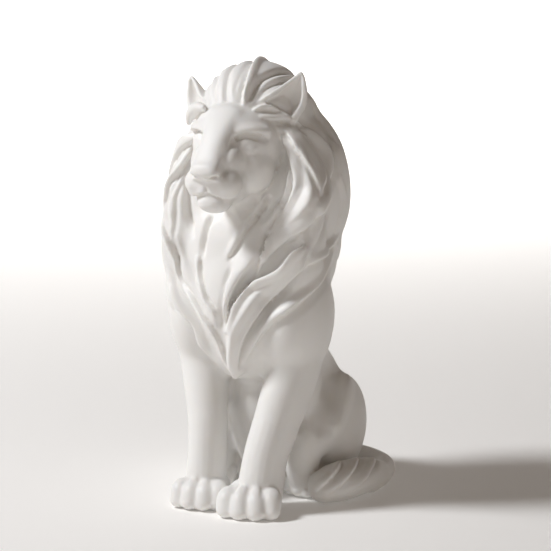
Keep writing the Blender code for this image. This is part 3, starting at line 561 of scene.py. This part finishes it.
def stroke(points, skin, left, right, path):
    """How far a stroke along a path of the skin moves each point: heights on its left and right."""
    line, normals = skin.follow(path, STROKE_STEPS)
    reach = max(left[1], right[1])
    near, closest, along, sideways = measure(points, line, reach, left_of(line, normals))
    fade_in = np.sin(math.pi / 2 * np.clip(along / FADE_IN, 0, 1))
    fade = fade_in * np.clip((1 - along) / FADE_OUT, 0, 1) ** 0.7
    on_left = side_height(closest, *left, right[0])
    on_right = side_height(closest, *right, left[0])
    moved = np.zeros(len(points))
    moved[near] = fade * np.where(sideways > 0, on_left, on_right)
    return moved


def carve_strokes(piece, strokes):
    """Moves the surface along its smooth normals by the sum of the strokes."""
    skin = Skin(piece)
    points = points_of(piece)
    total = np.zeros(len(points))
    for left, right, path in strokes:
        total += stroke(points, skin, left, right, path)
    place_points(piece, points + read(piece, "normal") * total[:, None])


# %% [markdown]
# ## The head
# The skull and cheeks come first, then the long square bridge of the nose, the muzzle's two pads,
# the chin and a low brow. They are fused and softened, and strokes then give the bridge, the brow,
# the nose and the mouth their edges. The eyes are half closed and have no pupils: a blank eyeball
# and a lid are laid into each socket.

# %% The head's masses
bridge = [
    (0, -36, 262, 13, 7), (0, -45, 253, 11, 7), (0, -52, 245, 9.8, 7), (0, -58, 237, 9.8, 7),
    (0, -64, 230, 10.2, 6),
]
face = limb("bridge", bridge, square=3.0)
face += [
    lump("skull", (0, -21, 243), (31, 30, 29)),
    lump("forehead", (0, -36, 252), (22, 13, 13), (-16, 0, 0)),
    lump("nose", (0, -65.6, 227.6), (10.6, 7, 5.4), (-20, 0, 0), square=3.0),
    lump("muzzle", (0, -49, 220), (18, 17.5, 12.5), square=2.3),
    lump("chin", (0, -54.3, 207.4), (12, 10.5, 8.2)),
    lump("jaw", (0, -38, 213), (15, 19, 10), (14, 0, 0)),
]
face += pair("cheek", (15.5, -30, 228), (13.5, 16, 18))
face += pair("snout_side", (9.5, -50, 232.5), (8.5, 10.5, 11))
face += pair("lip", (9.6, -55.8, 219.4), (10.3, 10.2, 9.8))
brow = [(7, -45, 251, 3.4), (13, -43.2, 253, 3.6), (20, -39.6, 253.6, 3.6), (27, -33.5, 252, 3)]
face += limbs("brow", brow)
head = fuse(face, "head", HEAD_GRAIN, HEAD_SOFTEN)
shape_with(head, "SUBSURF", levels=1, render_levels=1)
print("head:", len(head.data.vertices), "points")

# %% [markdown]
# ## The face
# The strokes are written for the left half. On the right the path is mirrored and the two sides
# change places, because left and right of the way it runs are mirrored too.

# %% The face's strokes, eyes and lids
FACE_STROKES = (
    # the edge of the nose's bridge
    ((0.6, 4), (-0.4, 4), ((9.5, -47, 252), (9.4, -52, 245), (9.6, -57, 238), (10, -60, 234))),
    # the brow's lower edge
    ((-4.6, 6), (0.8, 5), (
        (9.5, -48, 248), (14, -45, 250.5), (19, -42, 251.5), (24, -38, 250.5), (29, -32, 247),
    )),
    # the nose pad's side and underside
    ((-1.6, 3), (0.8, 3), ((9.5, -66, 224.5), (7, -70, 223.4), (4, -72, 222.4), (1, -73, 220))),
    # the mouth: under the nose, then along the lip
    ((-2.6, 3.5), (1, 4), (
        (0, -66, 214.5), (4, -65, 212.5), (10, -61.5, 210.8), (15, -57, 211), (20, -50, 214),
    )),
)
face_strokes = []
for left, right, path in FACE_STROKES:
    face_strokes.append((left, right, path))
    face_strokes.append((right, left, on_side(-1, path)))
carve_strokes(head, face_strokes)
lid = [
    (9.5, -44.5, 241.5, 1.2), (14, -43.5, 245.6, 1.9), (19, -41, 246.2, 2.0),
    (24.5, -37, 243.5, 1.2),
]
eyes = pair("eyeball", (16.8, -38.8, 240.6), (7.4, 6.4, 5.8), (0, 0, 22))
eyes += limbs("lid", lid, count=24)
print("strokes on the face:", len(face_strokes))

# %% [markdown]
# ## Ears
# An ear is a thin leaf that curls round a hollow. It is told by its rim, from the buried base to
# the tip: the rim's inner and outer side, the cup's depth and the wall's thickness. Each ring runs
# round the back of the shell and returns round the hollow. The right ear is a little lower.

# %% Ears
EAR_RIM = (
    ((15, -26, 262), (36, -15, 250), 9, 4.2),
    ((18, -27, 270.5), (40, -13.5, 259), 11, 4.4),
    ((24.5, -24, 275.5), (43.2, -10.5, 266), 11.5, 4.2),
    ((29, -19.5, 279.5), (44, -9.6, 273.5), 9.5, 3.8),
    ((33, -15.3, 283.2), (43.3, -9.7, 280.5), 6, 3.2),
    ((36.5, -12.6, 286.4), (42.2, -10.3, 285.6), 4, 2.4),
    ((38.6, -11.4, 288.6), (40.8, -10.9, 288.6), 2, 1.6),
)
EAR_BACKWARD = (-0.56, 0.81, -0.15)
RIGHT_EAR_DROP = 0.16
RIGHT_EAR_OUT = 3.0
EAR_RINGS = 24
EAR_SIDES = 14


def cupped_ears():
    pieces = []
    for side, drop, shift in ((1, 0.0, 0.0), (-1, RIGHT_EAR_DROP, RIGHT_EAR_OUT)):
        backward = np.array(EAR_BACKWARD) * (side, 1, 1)
        rings = []
        for inner, outer, depth, wall in EAR_RIM:
            ends = np.array([inner, outer], float) * (side, 1, 1)
            ends[:, 0] -= shift
            ends[:, 2] -= drop * (ends[:, 2] - EAR_RIM[0][1][2])
            middle = ends.mean(axis=0)
            reach = (ends[0] - ends[1]) / 2
            thin = max(1 - wall / np.linalg.norm(reach), 0.1)
            turns = np.linspace(0, math.pi, EAR_SIDES)[:, None]
            shell = middle + reach * np.cos(turns) + backward * depth * np.sin(turns)
            hollow = middle + reach * thin * np.cos(turns)
            hollow = hollow + backward * max(depth - wall, 0.0) * np.sin(turns)
            rings.append(np.vstack([shell, hollow[::-1]]))
        pieces.append(skin_through(smooth_rings(rings, EAR_RINGS), "ear"))
    return pieces


ears = cupped_ears()

# %% [markdown]
# ## One lock
# On the flank and behind, the mane's locks are separate leaves. A lock swells from its root and
# ends in a point. Over its width two faces meet in a crest, and each ends in a low step, so that
# locks laid side by side have deep lines between them.

# %% Laying a lock
LOCK_STEP = 0.3
LOCK_RINGS = 44
LOCK_SINK = 3.0
# Shares of a lock's length over which it rises and sinks again
LOCK_FADE_IN = 0.2
LOCK_FADE_OUT = 0.35


def leaf_width(share, root, widest):
    """Half width along a lock, as a share: it swells from the root and ends in a point."""
    swell = root + (1 - root) * np.sin(math.pi / 2 * np.clip(share / widest, 0, 1))
    taper = np.cos(math.pi / 2 * np.clip((share - widest) / (1 - widest), 0, 1)) ** 0.8
    return swell * taper


def ridge_profile(across, crest):
    """Height over a lock's width: two faces that meet in a crest, each ending in a low step."""
    far = np.where(across < crest, 1 + crest, 1 - crest)
    fall = np.clip(np.abs(across - crest) / far, 0, 1)
    return LOCK_STEP + (1 - LOCK_STEP) * (1 - fall**1.4)


def lay_lock(skin, path, half, high, lift, crest, root=0.25, widest=0.4):
    """A leaf-shaped lock along a path of the mane. Its crest runs at the given share of its half
    width, left of the way it runs where that is over 0, and its base stands on the lift."""
    ground, normal = skin.follow(skin.mane_path(path), LOCK_RINGS)
    for _ in range(3):
        ground[1:-1] = (ground[:-2] + 2 * ground[1:-1] + ground[2:]) / 4
        normal[1:-1] = (normal[:-2] + 2 * normal[1:-1] + normal[2:]) / 4
    normal = unit_rows(normal)
    side = left_of(ground, normal)
    share = np.linspace(0, 1, LOCK_RINGS)
    width = np.maximum(half * leaf_width(share, root, widest), 0.15)
    rise = np.sin(math.pi / 2 * np.clip(share / LOCK_FADE_IN, 0, 1))
    rise = rise * np.clip((1 - share) / LOCK_FADE_OUT, 0, 1) ** 0.5
    across = np.unique(np.append(np.linspace(-1, 1, 15), crest))
    profile = ridge_profile(across, crest)
    rings = []
    for i in range(LOCK_RINGS):
        base = [skin.nearest(spot)[0] for spot in ground[i] + np.outer(across * width[i], side[i])]
        top = np.array(base) + np.outer((lift + profile * high) * rise[i], normal[i])
        under = np.array(base)[-2:0:-3] - LOCK_SINK * normal[i]
        rings.append(np.vstack([top, under]))
    return skin_through(rings, "lock")


# %% [markdown]
# ## Locks of the right flank and the back
# The flank's locks are read from the photograph's left edge. The photograph doesn't show the back:
# two overlapping rows of locks hang round it, each swaying a little differently, so that it looks
# carved by the same hand as the front.

# %% Flank and back locks
# Each lock: half width, height, lift, then points of (turn, height)
FLANK_LOCKS = (
    (7.5, 4.2, 1.6, ((-46, 246), (-60, 234), (-69, 218), (-74, 202), (-72, 186), (-62, 170))),
    (8, 4.2, 1.2, ((-60, 256), (-76, 246), (-87, 228), (-92, 206), (-84, 182), (-62, 154))),
    (7.5, 4, 1, ((-74, 264), (-94, 250), (-106, 232), (-110, 208), (-104, 186), (-92, 166))),
    (8, 4.2, 1.2, ((-82, 228), (-78, 206), (-72, 184), (-64, 164), (-56, 146), (-44, 128))),
)


def flank_locks(skin):
    locks = []
    for half, high, lift, path in FLANK_LOCKS:
        locks.append(lay_lock(skin, path, half, high, lift, crest=0.5, root=0.3, widest=0.45))
    return locks


def back_locks(skin):
    """Two overlapping rows of locks that hang round the back, swaying in turn."""
    locks = []
    for k in range(9):
        turn = 96 + 20 * k
        sway = 6 * math.sin(1.9 * k)
        tip = 162 + 5 * math.cos(2.3 * k)
        bend = turn - 0.6 * sway
        path = ((turn, 246), (turn + sway, 226), (turn + 4, 204), (bend, 184), (turn - 3, tip))
        crest = 0.5 if k % 2 else -0.5
        locks.append(lay_lock(skin, path, half=8.5, high=3.4, lift=0.4, crest=crest))
    for k in range(8):
        turn = 106 + 20.3 * k
        sway = 5 * math.cos(1.3 * k)
        bend = turn - sway
        path = ((turn - 2, 286), (turn + sway, 262), (turn + 3, 240), (bend, 216), (turn, 178))
        crest = -0.5 if k % 2 else 0.5
        locks.append(lay_lock(skin, path, half=8.0, high=3.4, lift=1.2, crest=crest))
    return locks


smooth_mane = Skin(core)
locks = flank_locks(smooth_mane) + back_locks(smooth_mane)
print("separate locks:", len(locks))

# %% [markdown]
# ## The long locks of the front
# The great lock beside the cheek and the long ones that run into the point between the forelegs
# stand out as whole bands. Each is a rope that is sunk into the mane until only its rise shows.
# The core is made finer first, because strokes are cut into it afterwards.

# %% Long locks
LOCK_RISE = 0.56
# Each lock: how far it rises, then points of (turn, height, radius)
LOCKS = (
    (6, (
        (46, 259, 2), (55, 249, 8), (65, 223, 13), (62, 212, 12.5), (56, 202, 11), (41, 182, 7),
        (32, 170, 3),
    )),
    (5.2, (
        (56, 182, 1.5), (49, 169, 6.5), (30, 149, 9), (20, 138, 8.5), (12, 125, 7.5),
        (4, 100, 4.5), (2, 88, 3),
    )),
    (3, (
        (44, 207, 1.5), (32, 189, 6), (21, 174, 7.5), (12, 160, 7.5), (6, 147, 6.5),
        (3, 134, 5), (1, 122, 3),
    )),
    (2.6, (
        (-58, 200, 1.5), (-48, 178, 7), (-42, 161, 7), (-24, 136, 6), (-12, 126, 5),
        (-5, 114, 4), (-1, 100, 3),
    )),
    (2.4, (
        (-58, 165, 1.5), (-48, 146, 6), (-36, 134, 6), (-26, 120, 5.5), (-17, 106, 4.5),
        (-9, 94, 3.5), (-3, 84, 2.5),
    )),
)


def lock_masses(skin):
    """The long locks as ropes, sunk in the mane until only their rise stands out."""
    pieces = []
    for rise, path in LOCKS:
        stations = []
        for turn, height, radius in path:
            spot, normal = skin.nearest(skin.on_mane(turn, height))
            stations.append((*(spot + normal * (min(rise, LOCK_RISE * radius) - radius)), radius))
        pieces += limb("lock", stations)
    return pieces


shape_with(core, "SUBSURF", levels=1, render_levels=1)
core = fuse([core] + lock_masses(smooth_mane), "core", FORM_GRAIN, LOCK_SOFTEN)
print("core with its long locks:", len(core.data.vertices), "points")

# %% [markdown]
# ## The mane's strokes
# The lines of the mane are read from the photograph one by one: the step that bounds a lock, its
# crest and the thin lines beside it. Running down the front, left is the photograph's left.

# %% Strokes over the front of the mane
def even(height, reach, path):
    """A stroke whose two sides are alike: a groove, or a crest where the height is over 0."""
    return (height, reach), (height, reach), path


# Each stroke: height and reach on its left, the same on its right, then points of (turn, height)
STROKES = (
    # the great lock beside the cheek: left edge, right edge, crest
    ((-2.6, 5), (2.4, 7), (
        (36, 259), (42, 251), (47, 238), (48, 227), (48, 218), (45, 207), (40, 198),
        (35, 188), (30, 178), (26.5, 168), (24, 158), (22.5, 152),
    )),
    ((2.4, 8), (-3.4, 8), (
        (48, 264), (66, 260), (80, 249), (86, 239), (86, 231), (82, 222), (74, 213),
        (65, 204), (57, 195), (49, 186), (40, 177), (31.5, 168.5), (27, 161.5), (23.5, 154),
    )),
    even(2.2, 8, (
        (50, 248), (54, 239), (56, 226), (56, 216), (53, 207), (47, 197), (40, 187), (33.5, 177),
        (29, 168), (26, 160), (23, 153),
    )),
    # the leaf that lies on the great lock: its left and its right edge
    ((-1.8, 4), (1.2, 5), ((46, 255), (50, 246), (54, 236), (58, 226), (60, 218), (61, 210))),
    ((1.2, 5), (-1.6, 4), ((58, 254), (67, 247), (72, 238), (72, 229), (68, 219), (61, 210))),
    # the long lock below it, down to the point between the forelegs: top edge, crest, low edge
    ((-6, 12), (3.4, 5), ((53, 181), (44, 170), (38, 163), (19, 151), (10, 139), (0, 119))),
    even(1.4, 5, ((52, 178), (34, 153), (24, 145), (9, 122), (6, 112), (0, 90))),
    ((1.4, 4), (-3.6, 7), ((55, 173), (47, 158), (35, 143), (26, 134), (14, 114), (8, 92))),
    # the lock under the chin that bends into the point: crest and the thin line beside it
    ((2, 6), (2, 5), ((40, 196), (28, 179), (13, 158), (8, 149), (1, 133), (1, 125))),
    even(-1.8, 3, ((6, 163), (3, 155), (1, 146), (-1, 136), (-3, 129), (-1, 116))),
    # slits and hollows under the chin
    ((1.4, 5), (-3.2, 5), ((29, 212), (25, 202), (18, 191), (7, 175), (3, 169), (2, 166))),
    even(-3.6, 4, ((-20, 195), (-21, 185), (-22, 175), (-22, 166))),
    ((1.6, 5), (-2.2, 5), ((-26, 168), (-23, 155), (-18, 148), (-13, 140), (-6, 133), (-2, 123))),
    # long lines on the lion's right, from the cheek into the point
    ((1.6, 5), (-2.2, 4.5), ((-55, 192), (-43, 167), (-40, 149), (-26, 139), (-6, 118), (0, 91))),
    even(-1.6, 3, ((-46, 195), (-45, 186), (-43, 177), (-42, 168), (-42, 161))),
    ((-2, 3.5), (1.8, 5), ((-56, 183), (-54, 159), (-45, 140), (-28, 121), (-19, 100), (-6, 87))),
    ((-1.8, 6), (2, 5), ((-60, 158), (-54, 146), (-42, 135), (-25, 112), (-18, 101), (-9, 92))),
    ((-1.4, 4), (1.6, 4), ((-27, 104), (-20, 97), (-12, 90), (-3, 84))),
    # the low soft ridge over the shoulder
    ((2.4, 7), (-1.6, 8), (
        (92, 166), (80, 158), (64, 149), (48, 138), (34, 126), (22, 110), (13, 96),
    )),
    # the edge of the mane's second layer behind the great lock, and slits in front of it
    ((2.2, 6), (-2.6, 7), (
        (89, 231), (92, 218), (96, 207), (101, 198), (99, 184), (92, 175), (76, 170),
        (59, 167), (52, 161),
    )),
    even(-2, 5, ((58, 204), (57, 194), (56, 184), (53, 175), (53, 164))),
    even(-1.1, 4, ((78, 198), (67, 187), (60, 178), (55, 168))),
    # thin strands beside the left cheek
    ((-1.4, 3.5), (1, 3.5), (
        (38, 252), (43, 237), (45, 225), (44, 214), (41, 205), (35, 197), (27, 190),
    )),
    even(-1.2, 3, ((39, 244), (42, 230), (43, 220), (42, 210), (38, 203), (30, 196))),
    # thin strands beside the right cheek
    ((1.6, 5), (-2.2, 4.5), (
        (-44, 237), (-45, 228), (-47, 221), (-52, 212), (-53, 203), (-55, 195),
    )),
    even(-1.7, 3.2, (
        (-45, 232), (-45, 222), (-46, 217), (-51, 197), (-48, 186), (-44, 178),
    )),
    even(-1.7, 3, ((-44, 223), (-44, 214), (-45, 205), (-45, 196), (-44, 184))),
    even(-2.4, 4, ((-43, 217), (-42, 208), (-42, 196), (-38, 185), (-33, 177))),
    even(-2.4, 5, ((-54, 245), (-53, 237), (-57, 230), (-54, 224))),
    # strands that sweep back over the temple under the left ear, and the hollow below them
    ((2, 5), (-2, 4), ((18, 268), (28, 273), (36, 273), (45, 270), (52, 267), (61, 261))),
    even(-0.9, 3, ((22, 267), (30, 269), (38, 269), (48, 267), (55, 262))),
    ((-2.8, 5), (2, 5), ((21, 261), (28, 262), (36, 262), (47, 262), (61, 260), (73, 256))),
)

# %% [markdown]
# ## The crown's strokes
# From the hairline over the forehead the lines sweep up, back over the crown and down behind. Their
# points are told by how far sideways they are and the angle over the crown. A hollow follows the
# face on both sides, so that the cheeks stand free of the mane.

# %% Strokes over the crown and round the face
CROWN_STROKES = (
    even(-1.8, 3.5, ((-19, 30), (-27, 48), (-34, 66), (-42, 95), (-46, 130))),
    even(-2, 3.5, ((-13, 29), (-20.3, 46), (-26, 62), (-38, 125), (-42, 155))),
    even(-1.8, 3.5, ((-7, 27), (-13, 44), (-17, 60), (-30, 130), (-34, 155))),
    even(-2.2, 3.5, ((1.5, 22), (-5, 48), (-8.2, 62), (-12, 85), (-24, 150))),
    even(-1.2, 2.5, ((3.5, 36), (1.5, 46), (0.5, 60), (-3, 80), (-8, 110))),
    ((2.6, 6), (-4, 5), ((8, 30), (6.3, 45), (5.1, 56), (-4, 100), (-6, 145))),
    even(-3.6, 4.5, ((10.4, 33), (12.2, 50), (14.9, 64), (20, 110), (26, 145))),
    even(-3.2, 4.5, ((14.1, 35), (17.5, 50), (22.1, 63), (30, 105), (36, 140))),
    even(-2.2, 4, ((20, 39), (27, 56), (34, 75), (41, 105), (44, 135))),
)
COLLAR = ((44, 246), (38, 232), (31, 216), (23, 206), (14, 200), (7, 196))
# How many times its written height each stroke is cut
MANE_CUT = 1.35
CROWN_CUT = 1.1


def mane_strokes(skin):
    """Every stroke of the mane and the crown, with its points found on the skin."""
    strokes = []
    tables = ((STROKES, skin.on_mane, MANE_CUT), (CROWN_STROKES, skin.on_crown, CROWN_CUT))
    for table, find, cut in tables:
        for left, right, path in table:
            spots = [find(*spot) for spot in path]
            strokes.append(((cut * left[0], left[1]), (cut * right[0], right[1]), spots))
    return strokes


def collar_strokes(skin):
    """The hollow that follows the face on both sides."""
    return [even(-8, 15, skin.mane_path(on_side(side, COLLAR))) for side in LEFT_AND_RIGHT]


ropes_skin = Skin(core)
carve_strokes(core, collar_strokes(ropes_skin))
strokes = mane_strokes(ropes_skin)
carve_strokes(core, strokes)
print("strokes on the mane:", len(strokes))

# %% [markdown]
# ## One skin
# The real figure is one casting, so the body, head, ears, paws, tail and locks are fused into a
# single closed skin at the fine grain. A small tuft of hair over the right temple goes in as well.

# %% Fusing the figure
TEMPLE_TUFT = (
    (-18, -37, 265, 2), (-25, -31, 264.5, 3.4), (-31, -27, 261.5, 4.2), (-35, -25, 257, 3.4),
    (-36, -25, 253, 2),
)
pieces = [core, head, feet] + eyes + ears + tail + locks + limb("temple_tuft", TEMPLE_TUFT)
lion = fuse(pieces, "white_lion", FORM_GRAIN, FIGURE_SOFTEN)
print("fused:", len(lion.data.polygons), "faces")

# %% [markdown]
# ## The last lines
# The finest lines come last, when nothing softens them any more: the line under the nose, the
# nostrils, the slit over each eye, the crest of each thigh and the strands of the tail's tuft.

# %% Fine lines on the face
# Each line: width, depth, then its points on the lion's left
FACE_LINES = (
    # the slit over the eye
    (1.8, 1.8, ((9.4, -46.5, 243), (13, -46, 247.6), (18, -43.6, 248.8), (25, -39, 246.6))),
    # the nostril, and the nose's wing above it
    (1.7, 2.0, ((3, -72, 222.6), (6, -70.5, 223.6), (9, -67.5, 225))),
    (2.0, 0.5, ((10.4, -67, 223.6), (11.6, -62, 227.5), (11.2, -57, 231))),
)
press(lion, [(0, -73, 222.5), (0, -68, 218.5), (0, -65.5, 215.5)], width=1.5, depth=1.2)
press_both(lion, FACE_LINES)

# %% Lines on the body and the tail
THIGH_LINES = (
    # the crest, and the hollow in front of it
    (9, -2.4, ((44, 54, 76), (46.5, 46, 69), (48, 36, 59), (49.5, 24, 47))),
    (12, 2.6, ((36, 46, 79), (41, 28, 65), (45.5, 10, 51))),
)
TUFT_STROKES = (
    ((1.8, 5), (-2.2, 5), ((68, 46, 21), (73, 30, 19), (73, 14, 13), (66, 0, 7))),
    ((1.8, 5), (-2.2, 5), ((62, 32, 26), (68, 16, 23), (66, 2, 16), (58, -8, 8))),
    ((1.6, 5), (-2.0, 5), ((57, 16, 27), (61, 4, 23), (57, -7, 16), (50, -12, 9))),
)
press_both(lion, THIGH_LINES)
carve_strokes(lion, TUFT_STROKES)

# %% [markdown]
# ## Fewer faces
# Most of the fine faces lie on smooth skin that doesn't need them. Decimate collapses edges where
# the surface is flattest first, so the carving keeps its detail. A light smoothing evens out the
# slivers that it leaves.

# %% Fewer faces
TRIANGLES = 190000
shape_with(lion, "DECIMATE", ratio=TRIANGLES / (2 * len(lion.data.polygons)))
shape_with(lion, "SMOOTH", factor=0.5, iterations=1)
print("triangles:", sum(len(face.vertices) - 2 for face in lion.data.polygons))

# %% [markdown]
# ## Standing on the ground
# The casting's underside is ground flat. A bisect at ground level cuts off what is below and fills
# the cut. Scraps that the fusing left loose are dropped, and the figure is moved sideways until the
# middle of its box is over the origin, as the solid's is.

# %% The flat underside
edit_whole(lion)
bpy.ops.mesh.bisect(
    plane_co=(0, 0, 0), plane_no=(0, 0, 1), use_fill=True, clear_inner=True, threshold=1e-7
)
bpy.ops.mesh.separate(type="LOOSE")
bpy.ops.object.mode_set(mode="OBJECT")
for scrap in sorted(bpy.context.selected_objects, key=lambda piece: len(piece.data.vertices))[:-1]:
    bpy.data.objects.remove(scrap)
lion = bpy.context.selected_objects[0]
lion.name = "white_lion"
points = points_of(lion)
middle = (points.min(axis=0) + points.max(axis=0)) / 2
middle[2] = 0
place_points(lion, points - middle)
choose(lion)
bpy.ops.object.shade_smooth()
print("faces:", len(lion.data.polygons), "moved by", middle.round(2))

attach(lion, "root")
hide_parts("lion")

# %% [markdown]
# ## Shader sums
# A material is a graph of nodes. This class wraps a socket, so that a sum can be written as one:
# each operator adds a Math node. The method node adds any other kind of node. What goes into its
# sockets is a value, which is set, or a wire, which is linked.

# %% A socket that can be used in sums
class Wire:
    def __init__(self, tree, socket=None):
        self.tree = tree
        self.socket = socket

    def plug(self, node, inputs):
        for name, value in inputs.items():
            if isinstance(value, Wire):
                self.tree.links.new(value.socket, node.inputs[name])
            else:
                node.inputs[name].default_value = value

    def node(self, kind, settings, inputs, output=0):
        made = self.tree.nodes.new("ShaderNode" + kind)
        for name, value in settings.items():
            setattr(made, name, value)
        self.plug(made, inputs)
        return Wire(self.tree, made.outputs[output])

    def sum(self, operation, first, second):
        return self.node("Math", {"operation": operation}, {0: first, 1: second})

    def __add__(self, other):
        return self.sum("ADD", self, other)

    def __mul__(self, other):
        return self.sum("MULTIPLY", self, other)

    def __sub__(self, other):
        return self.sum("SUBTRACT", self, other)

    def __rsub__(self, other):
        return self.sum("SUBTRACT", other, self)

    __radd__ = __add__
    __rmul__ = __mul__

    def noise(self, scale, detail=2.0):
        return self.node("TexNoise", {}, {"Vector": self, "Scale": scale, "Detail": detail}, "Fac")

    def mix(self, factor, first, second):
        return self.node("Mix", {"data_type": "RGBA"}, {"Factor": factor, 6: first, 7: second}, 2)

    def clipped(self):
        return self.node("Clamp", {}, {"Value": self})


def new_material(name):
    """A new material, its shader and the start of its sums."""
    material = bpy.data.materials.new(name)
    material.use_nodes = True
    return material, material.node_tree.nodes["Principled BSDF"], Wire(material.node_tree)


# %% [markdown]
# ## White resin
# Stone-filled resin is matt white with a satin skin. Seen close it isn't one flat colour: the stone
# powder clouds it very slightly, and raised edges are rubbed a little brighter and smoother by
# handling. Hollows are painted a darker, warm tint: painted shade, standing in for the shadow that
# falls in creases. They are also a little rougher where the mould's release dulls them. The skin
# has a fine grain of pinholes and soft waves, which break up the highlights.

# %% The resin
RESIN = (0.86, 0.845, 0.82, 1)
# Painted shade: the darker, warm colour that hollows are mixed toward
RESIN_PAINTED_SHADE = (0.76, 0.715, 0.655, 1)
RESIN_PALE = (0.90, 0.89, 0.87, 1)
# Pointiness under the first value is a hollow, over the second an edge
HOLLOW_UNDER = 0.497
EDGE_OVER = 0.515

resin, shader, start = new_material("white_resin")
place = start.node("TexCoord", {}, {}, "Object")
cloud = place.noise(22.0, 4.0)
wave = place.noise(160.0, 3.0)
grain = place.noise(1500.0)
bend = start.node("NewGeometry", {}, {}, "Pointiness")
# The hollows' mask, for the painted shade in the colour and for rougher resin
hollow = ((HOLLOW_UNDER - bend) * 14).clipped()
edge = ((bend - EDGE_OVER) * 12).clipped()
clouded = start.mix(((cloud - 0.35) * 0.9).clipped(), RESIN, RESIN_PALE)
# Painted shade: hollows are darkened toward a warm colour, as if shadowed
shaded = start.mix(hollow * 0.55, clouded, RESIN_PAINTED_SHADE)
relief = {"Strength": 0.25, "Distance": 0.0003, "Height": 0.7 * wave + 0.3 * grain}
finish = {
    "Base Color": start.mix(edge * 0.5, shaded, RESIN_PALE),
    "Roughness": 0.4 + 0.14 * cloud + 0.1 * hollow - 0.08 * edge + 0.06 * grain,
    "Normal": start.node("Bump", {}, relief, "Normal"),
    "Subsurface Weight": 0.13,
    "Subsurface Radius": (1, 0.8, 0.6),
    "Subsurface Scale": 0.003,
}
start.plug(shader, finish)
lion.data.materials.clear()
lion.data.materials.append(resin)

# %% [markdown]
# ## Floor
# The figure stands in the middle of a wide, pale, matt bowl of paper. Its floor is flat and its rim
# rises in a curve, so that no horizon line shows behind the figure. The rim is a bare circle that
# is extruded outward and upward ring by ring, and a filled circle is joined to it as the flat
# middle. The paper glows faintly, which keeps its shade pale.

# %% The floor
FLAT_RADIUS = 2.6
RIM_RADIUS = 1.5
RIM_STEPS = 12
bpy.ops.mesh.primitive_circle_add(vertices=96, radius=FLAT_RADIUS, fill_type="NGON")
disc = bpy.context.object
bpy.ops.mesh.primitive_circle_add(vertices=96, radius=FLAT_RADIUS, fill_type="NOTHING")
floor = bpy.context.object
floor.name = "floor"
edit_whole(floor)
for k in range(RIM_STEPS):
    low, high = (math.pi / 2 * (k + share) / RIM_STEPS for share in (0, 1))
    wide = FLAT_RADIUS + RIM_RADIUS * math.sin(low)
    wider = FLAT_RADIUS + RIM_RADIUS * math.sin(high)
    rise = RIM_RADIUS * (math.cos(low) - math.cos(high))
    bpy.ops.mesh.extrude_edges_move(TRANSFORM_OT_translate={"value": (0, 0, rise)})
    bpy.ops.transform.resize(value=(wider / wide, wider / wide, 1))
bpy.ops.object.mode_set(mode="OBJECT")
choose(floor, disc)
bpy.ops.object.join()
edit_whole(floor)
bpy.ops.mesh.remove_doubles(threshold=0.0001)
bpy.ops.mesh.normals_make_consistent(inside=True)
bpy.ops.object.mode_set(mode="OBJECT")
bpy.ops.object.shade_smooth_by_angle(angle=math.radians(20))
rim_height = max(vertex.co.z for vertex in floor.data.vertices)
print("floor:", len(floor.data.polygons), "faces, rim", round(rim_height, 2), "m high")
paper, shader, start = new_material("floor_paper")
fibre = start.node("TexCoord", {}, {}, "Object").noise(300.0)
finish = {
    "Base Color": (0.95, 0.93, 0.905, 1),
    "Roughness": 0.8 + 0.1 * fibre,
    "Emission Color": (1, 0.99, 0.97, 1),
    "Emission Strength": 0.08,
}
start.plug(shader, finish)
floor.data.materials.append(paper)

# %% [markdown]
# ## Light
# One soft light stands high on the photograph's left, a little in front of the figure. A weak warm
# light fills the right side, a spot behind brightens the paper, and a dim warm sky tints the shade,
# which is warm in the photograph too.

# %% Lights
LIGHTS = (
    ("key", (-1.5, -1.15, 2.1), 0.6, 62, (0.95, 0.97, 1.0)),
    ("fill", (1.8, -1.0, 0.6), 1.6, 1, (1.0, 0.84, 0.68)),
)
for name, place, size, power, colour in LIGHTS:
    bpy.ops.object.light_add(type="AREA", location=place)
    light = bpy.context.object
    light.name = name
    light.data.shape = "DISK"
    light.data.size = size
    light.data.energy = power
    light.data.color = colour
    aim = Vector((0, 0, 0.15)) - Vector(place)
    light.rotation_euler = aim.to_track_quat("-Z", "Y").to_euler()
bpy.ops.object.light_add(type="SPOT", location=(-1.1, 2.0, 1.7))
backdrop = bpy.context.object.data
backdrop.spot_size = math.radians(110)
backdrop.spot_blend = 0.8
backdrop.shadow_soft_size = 0.3
backdrop.energy = 190
world = bpy.data.worlds.new("studio")
bpy.context.scene.world = world
world.use_nodes = True
sky = world.node_tree.nodes["Background"].inputs
sky["Color"].default_value = (1.0, 0.7, 0.46, 1)
sky["Strength"].default_value = 0.07
bpy.context.scene.view_settings.view_transform = "Standard"

# %% [markdown]
# ## Camera
# The photograph is taken with a long lens, a little above the figure and 28 degrees round to its
# left. The camera looks at a point beside the figure, because the photograph isn't centred on it.

# %% Camera
CAMERA_TURN = math.radians(28)
CAMERA_RISE = math.radians(10.4)
CAMERA_FAR = 1500
AIM_BESIDE = 13.5
AIM_HEIGHT = 150
sine, cosine, level = math.sin(CAMERA_TURN), math.cos(CAMERA_TURN), math.cos(CAMERA_RISE)
back = Vector((sine * level, -cosine * level, math.sin(CAMERA_RISE)))
aim = Vector((AIM_BESIDE * cosine, AIM_BESIDE * sine, AIM_HEIGHT)) - Vector(middle)
bpy.ops.object.camera_add(location=(aim + back * CAMERA_FAR) * UNIT)
camera = bpy.context.object
camera.rotation_euler = (-back).to_track_quat("-Z", "Y").to_euler()
camera.data.lens = 146.94
camera.data.sensor_width = 36
bpy.context.scene.camera = camera
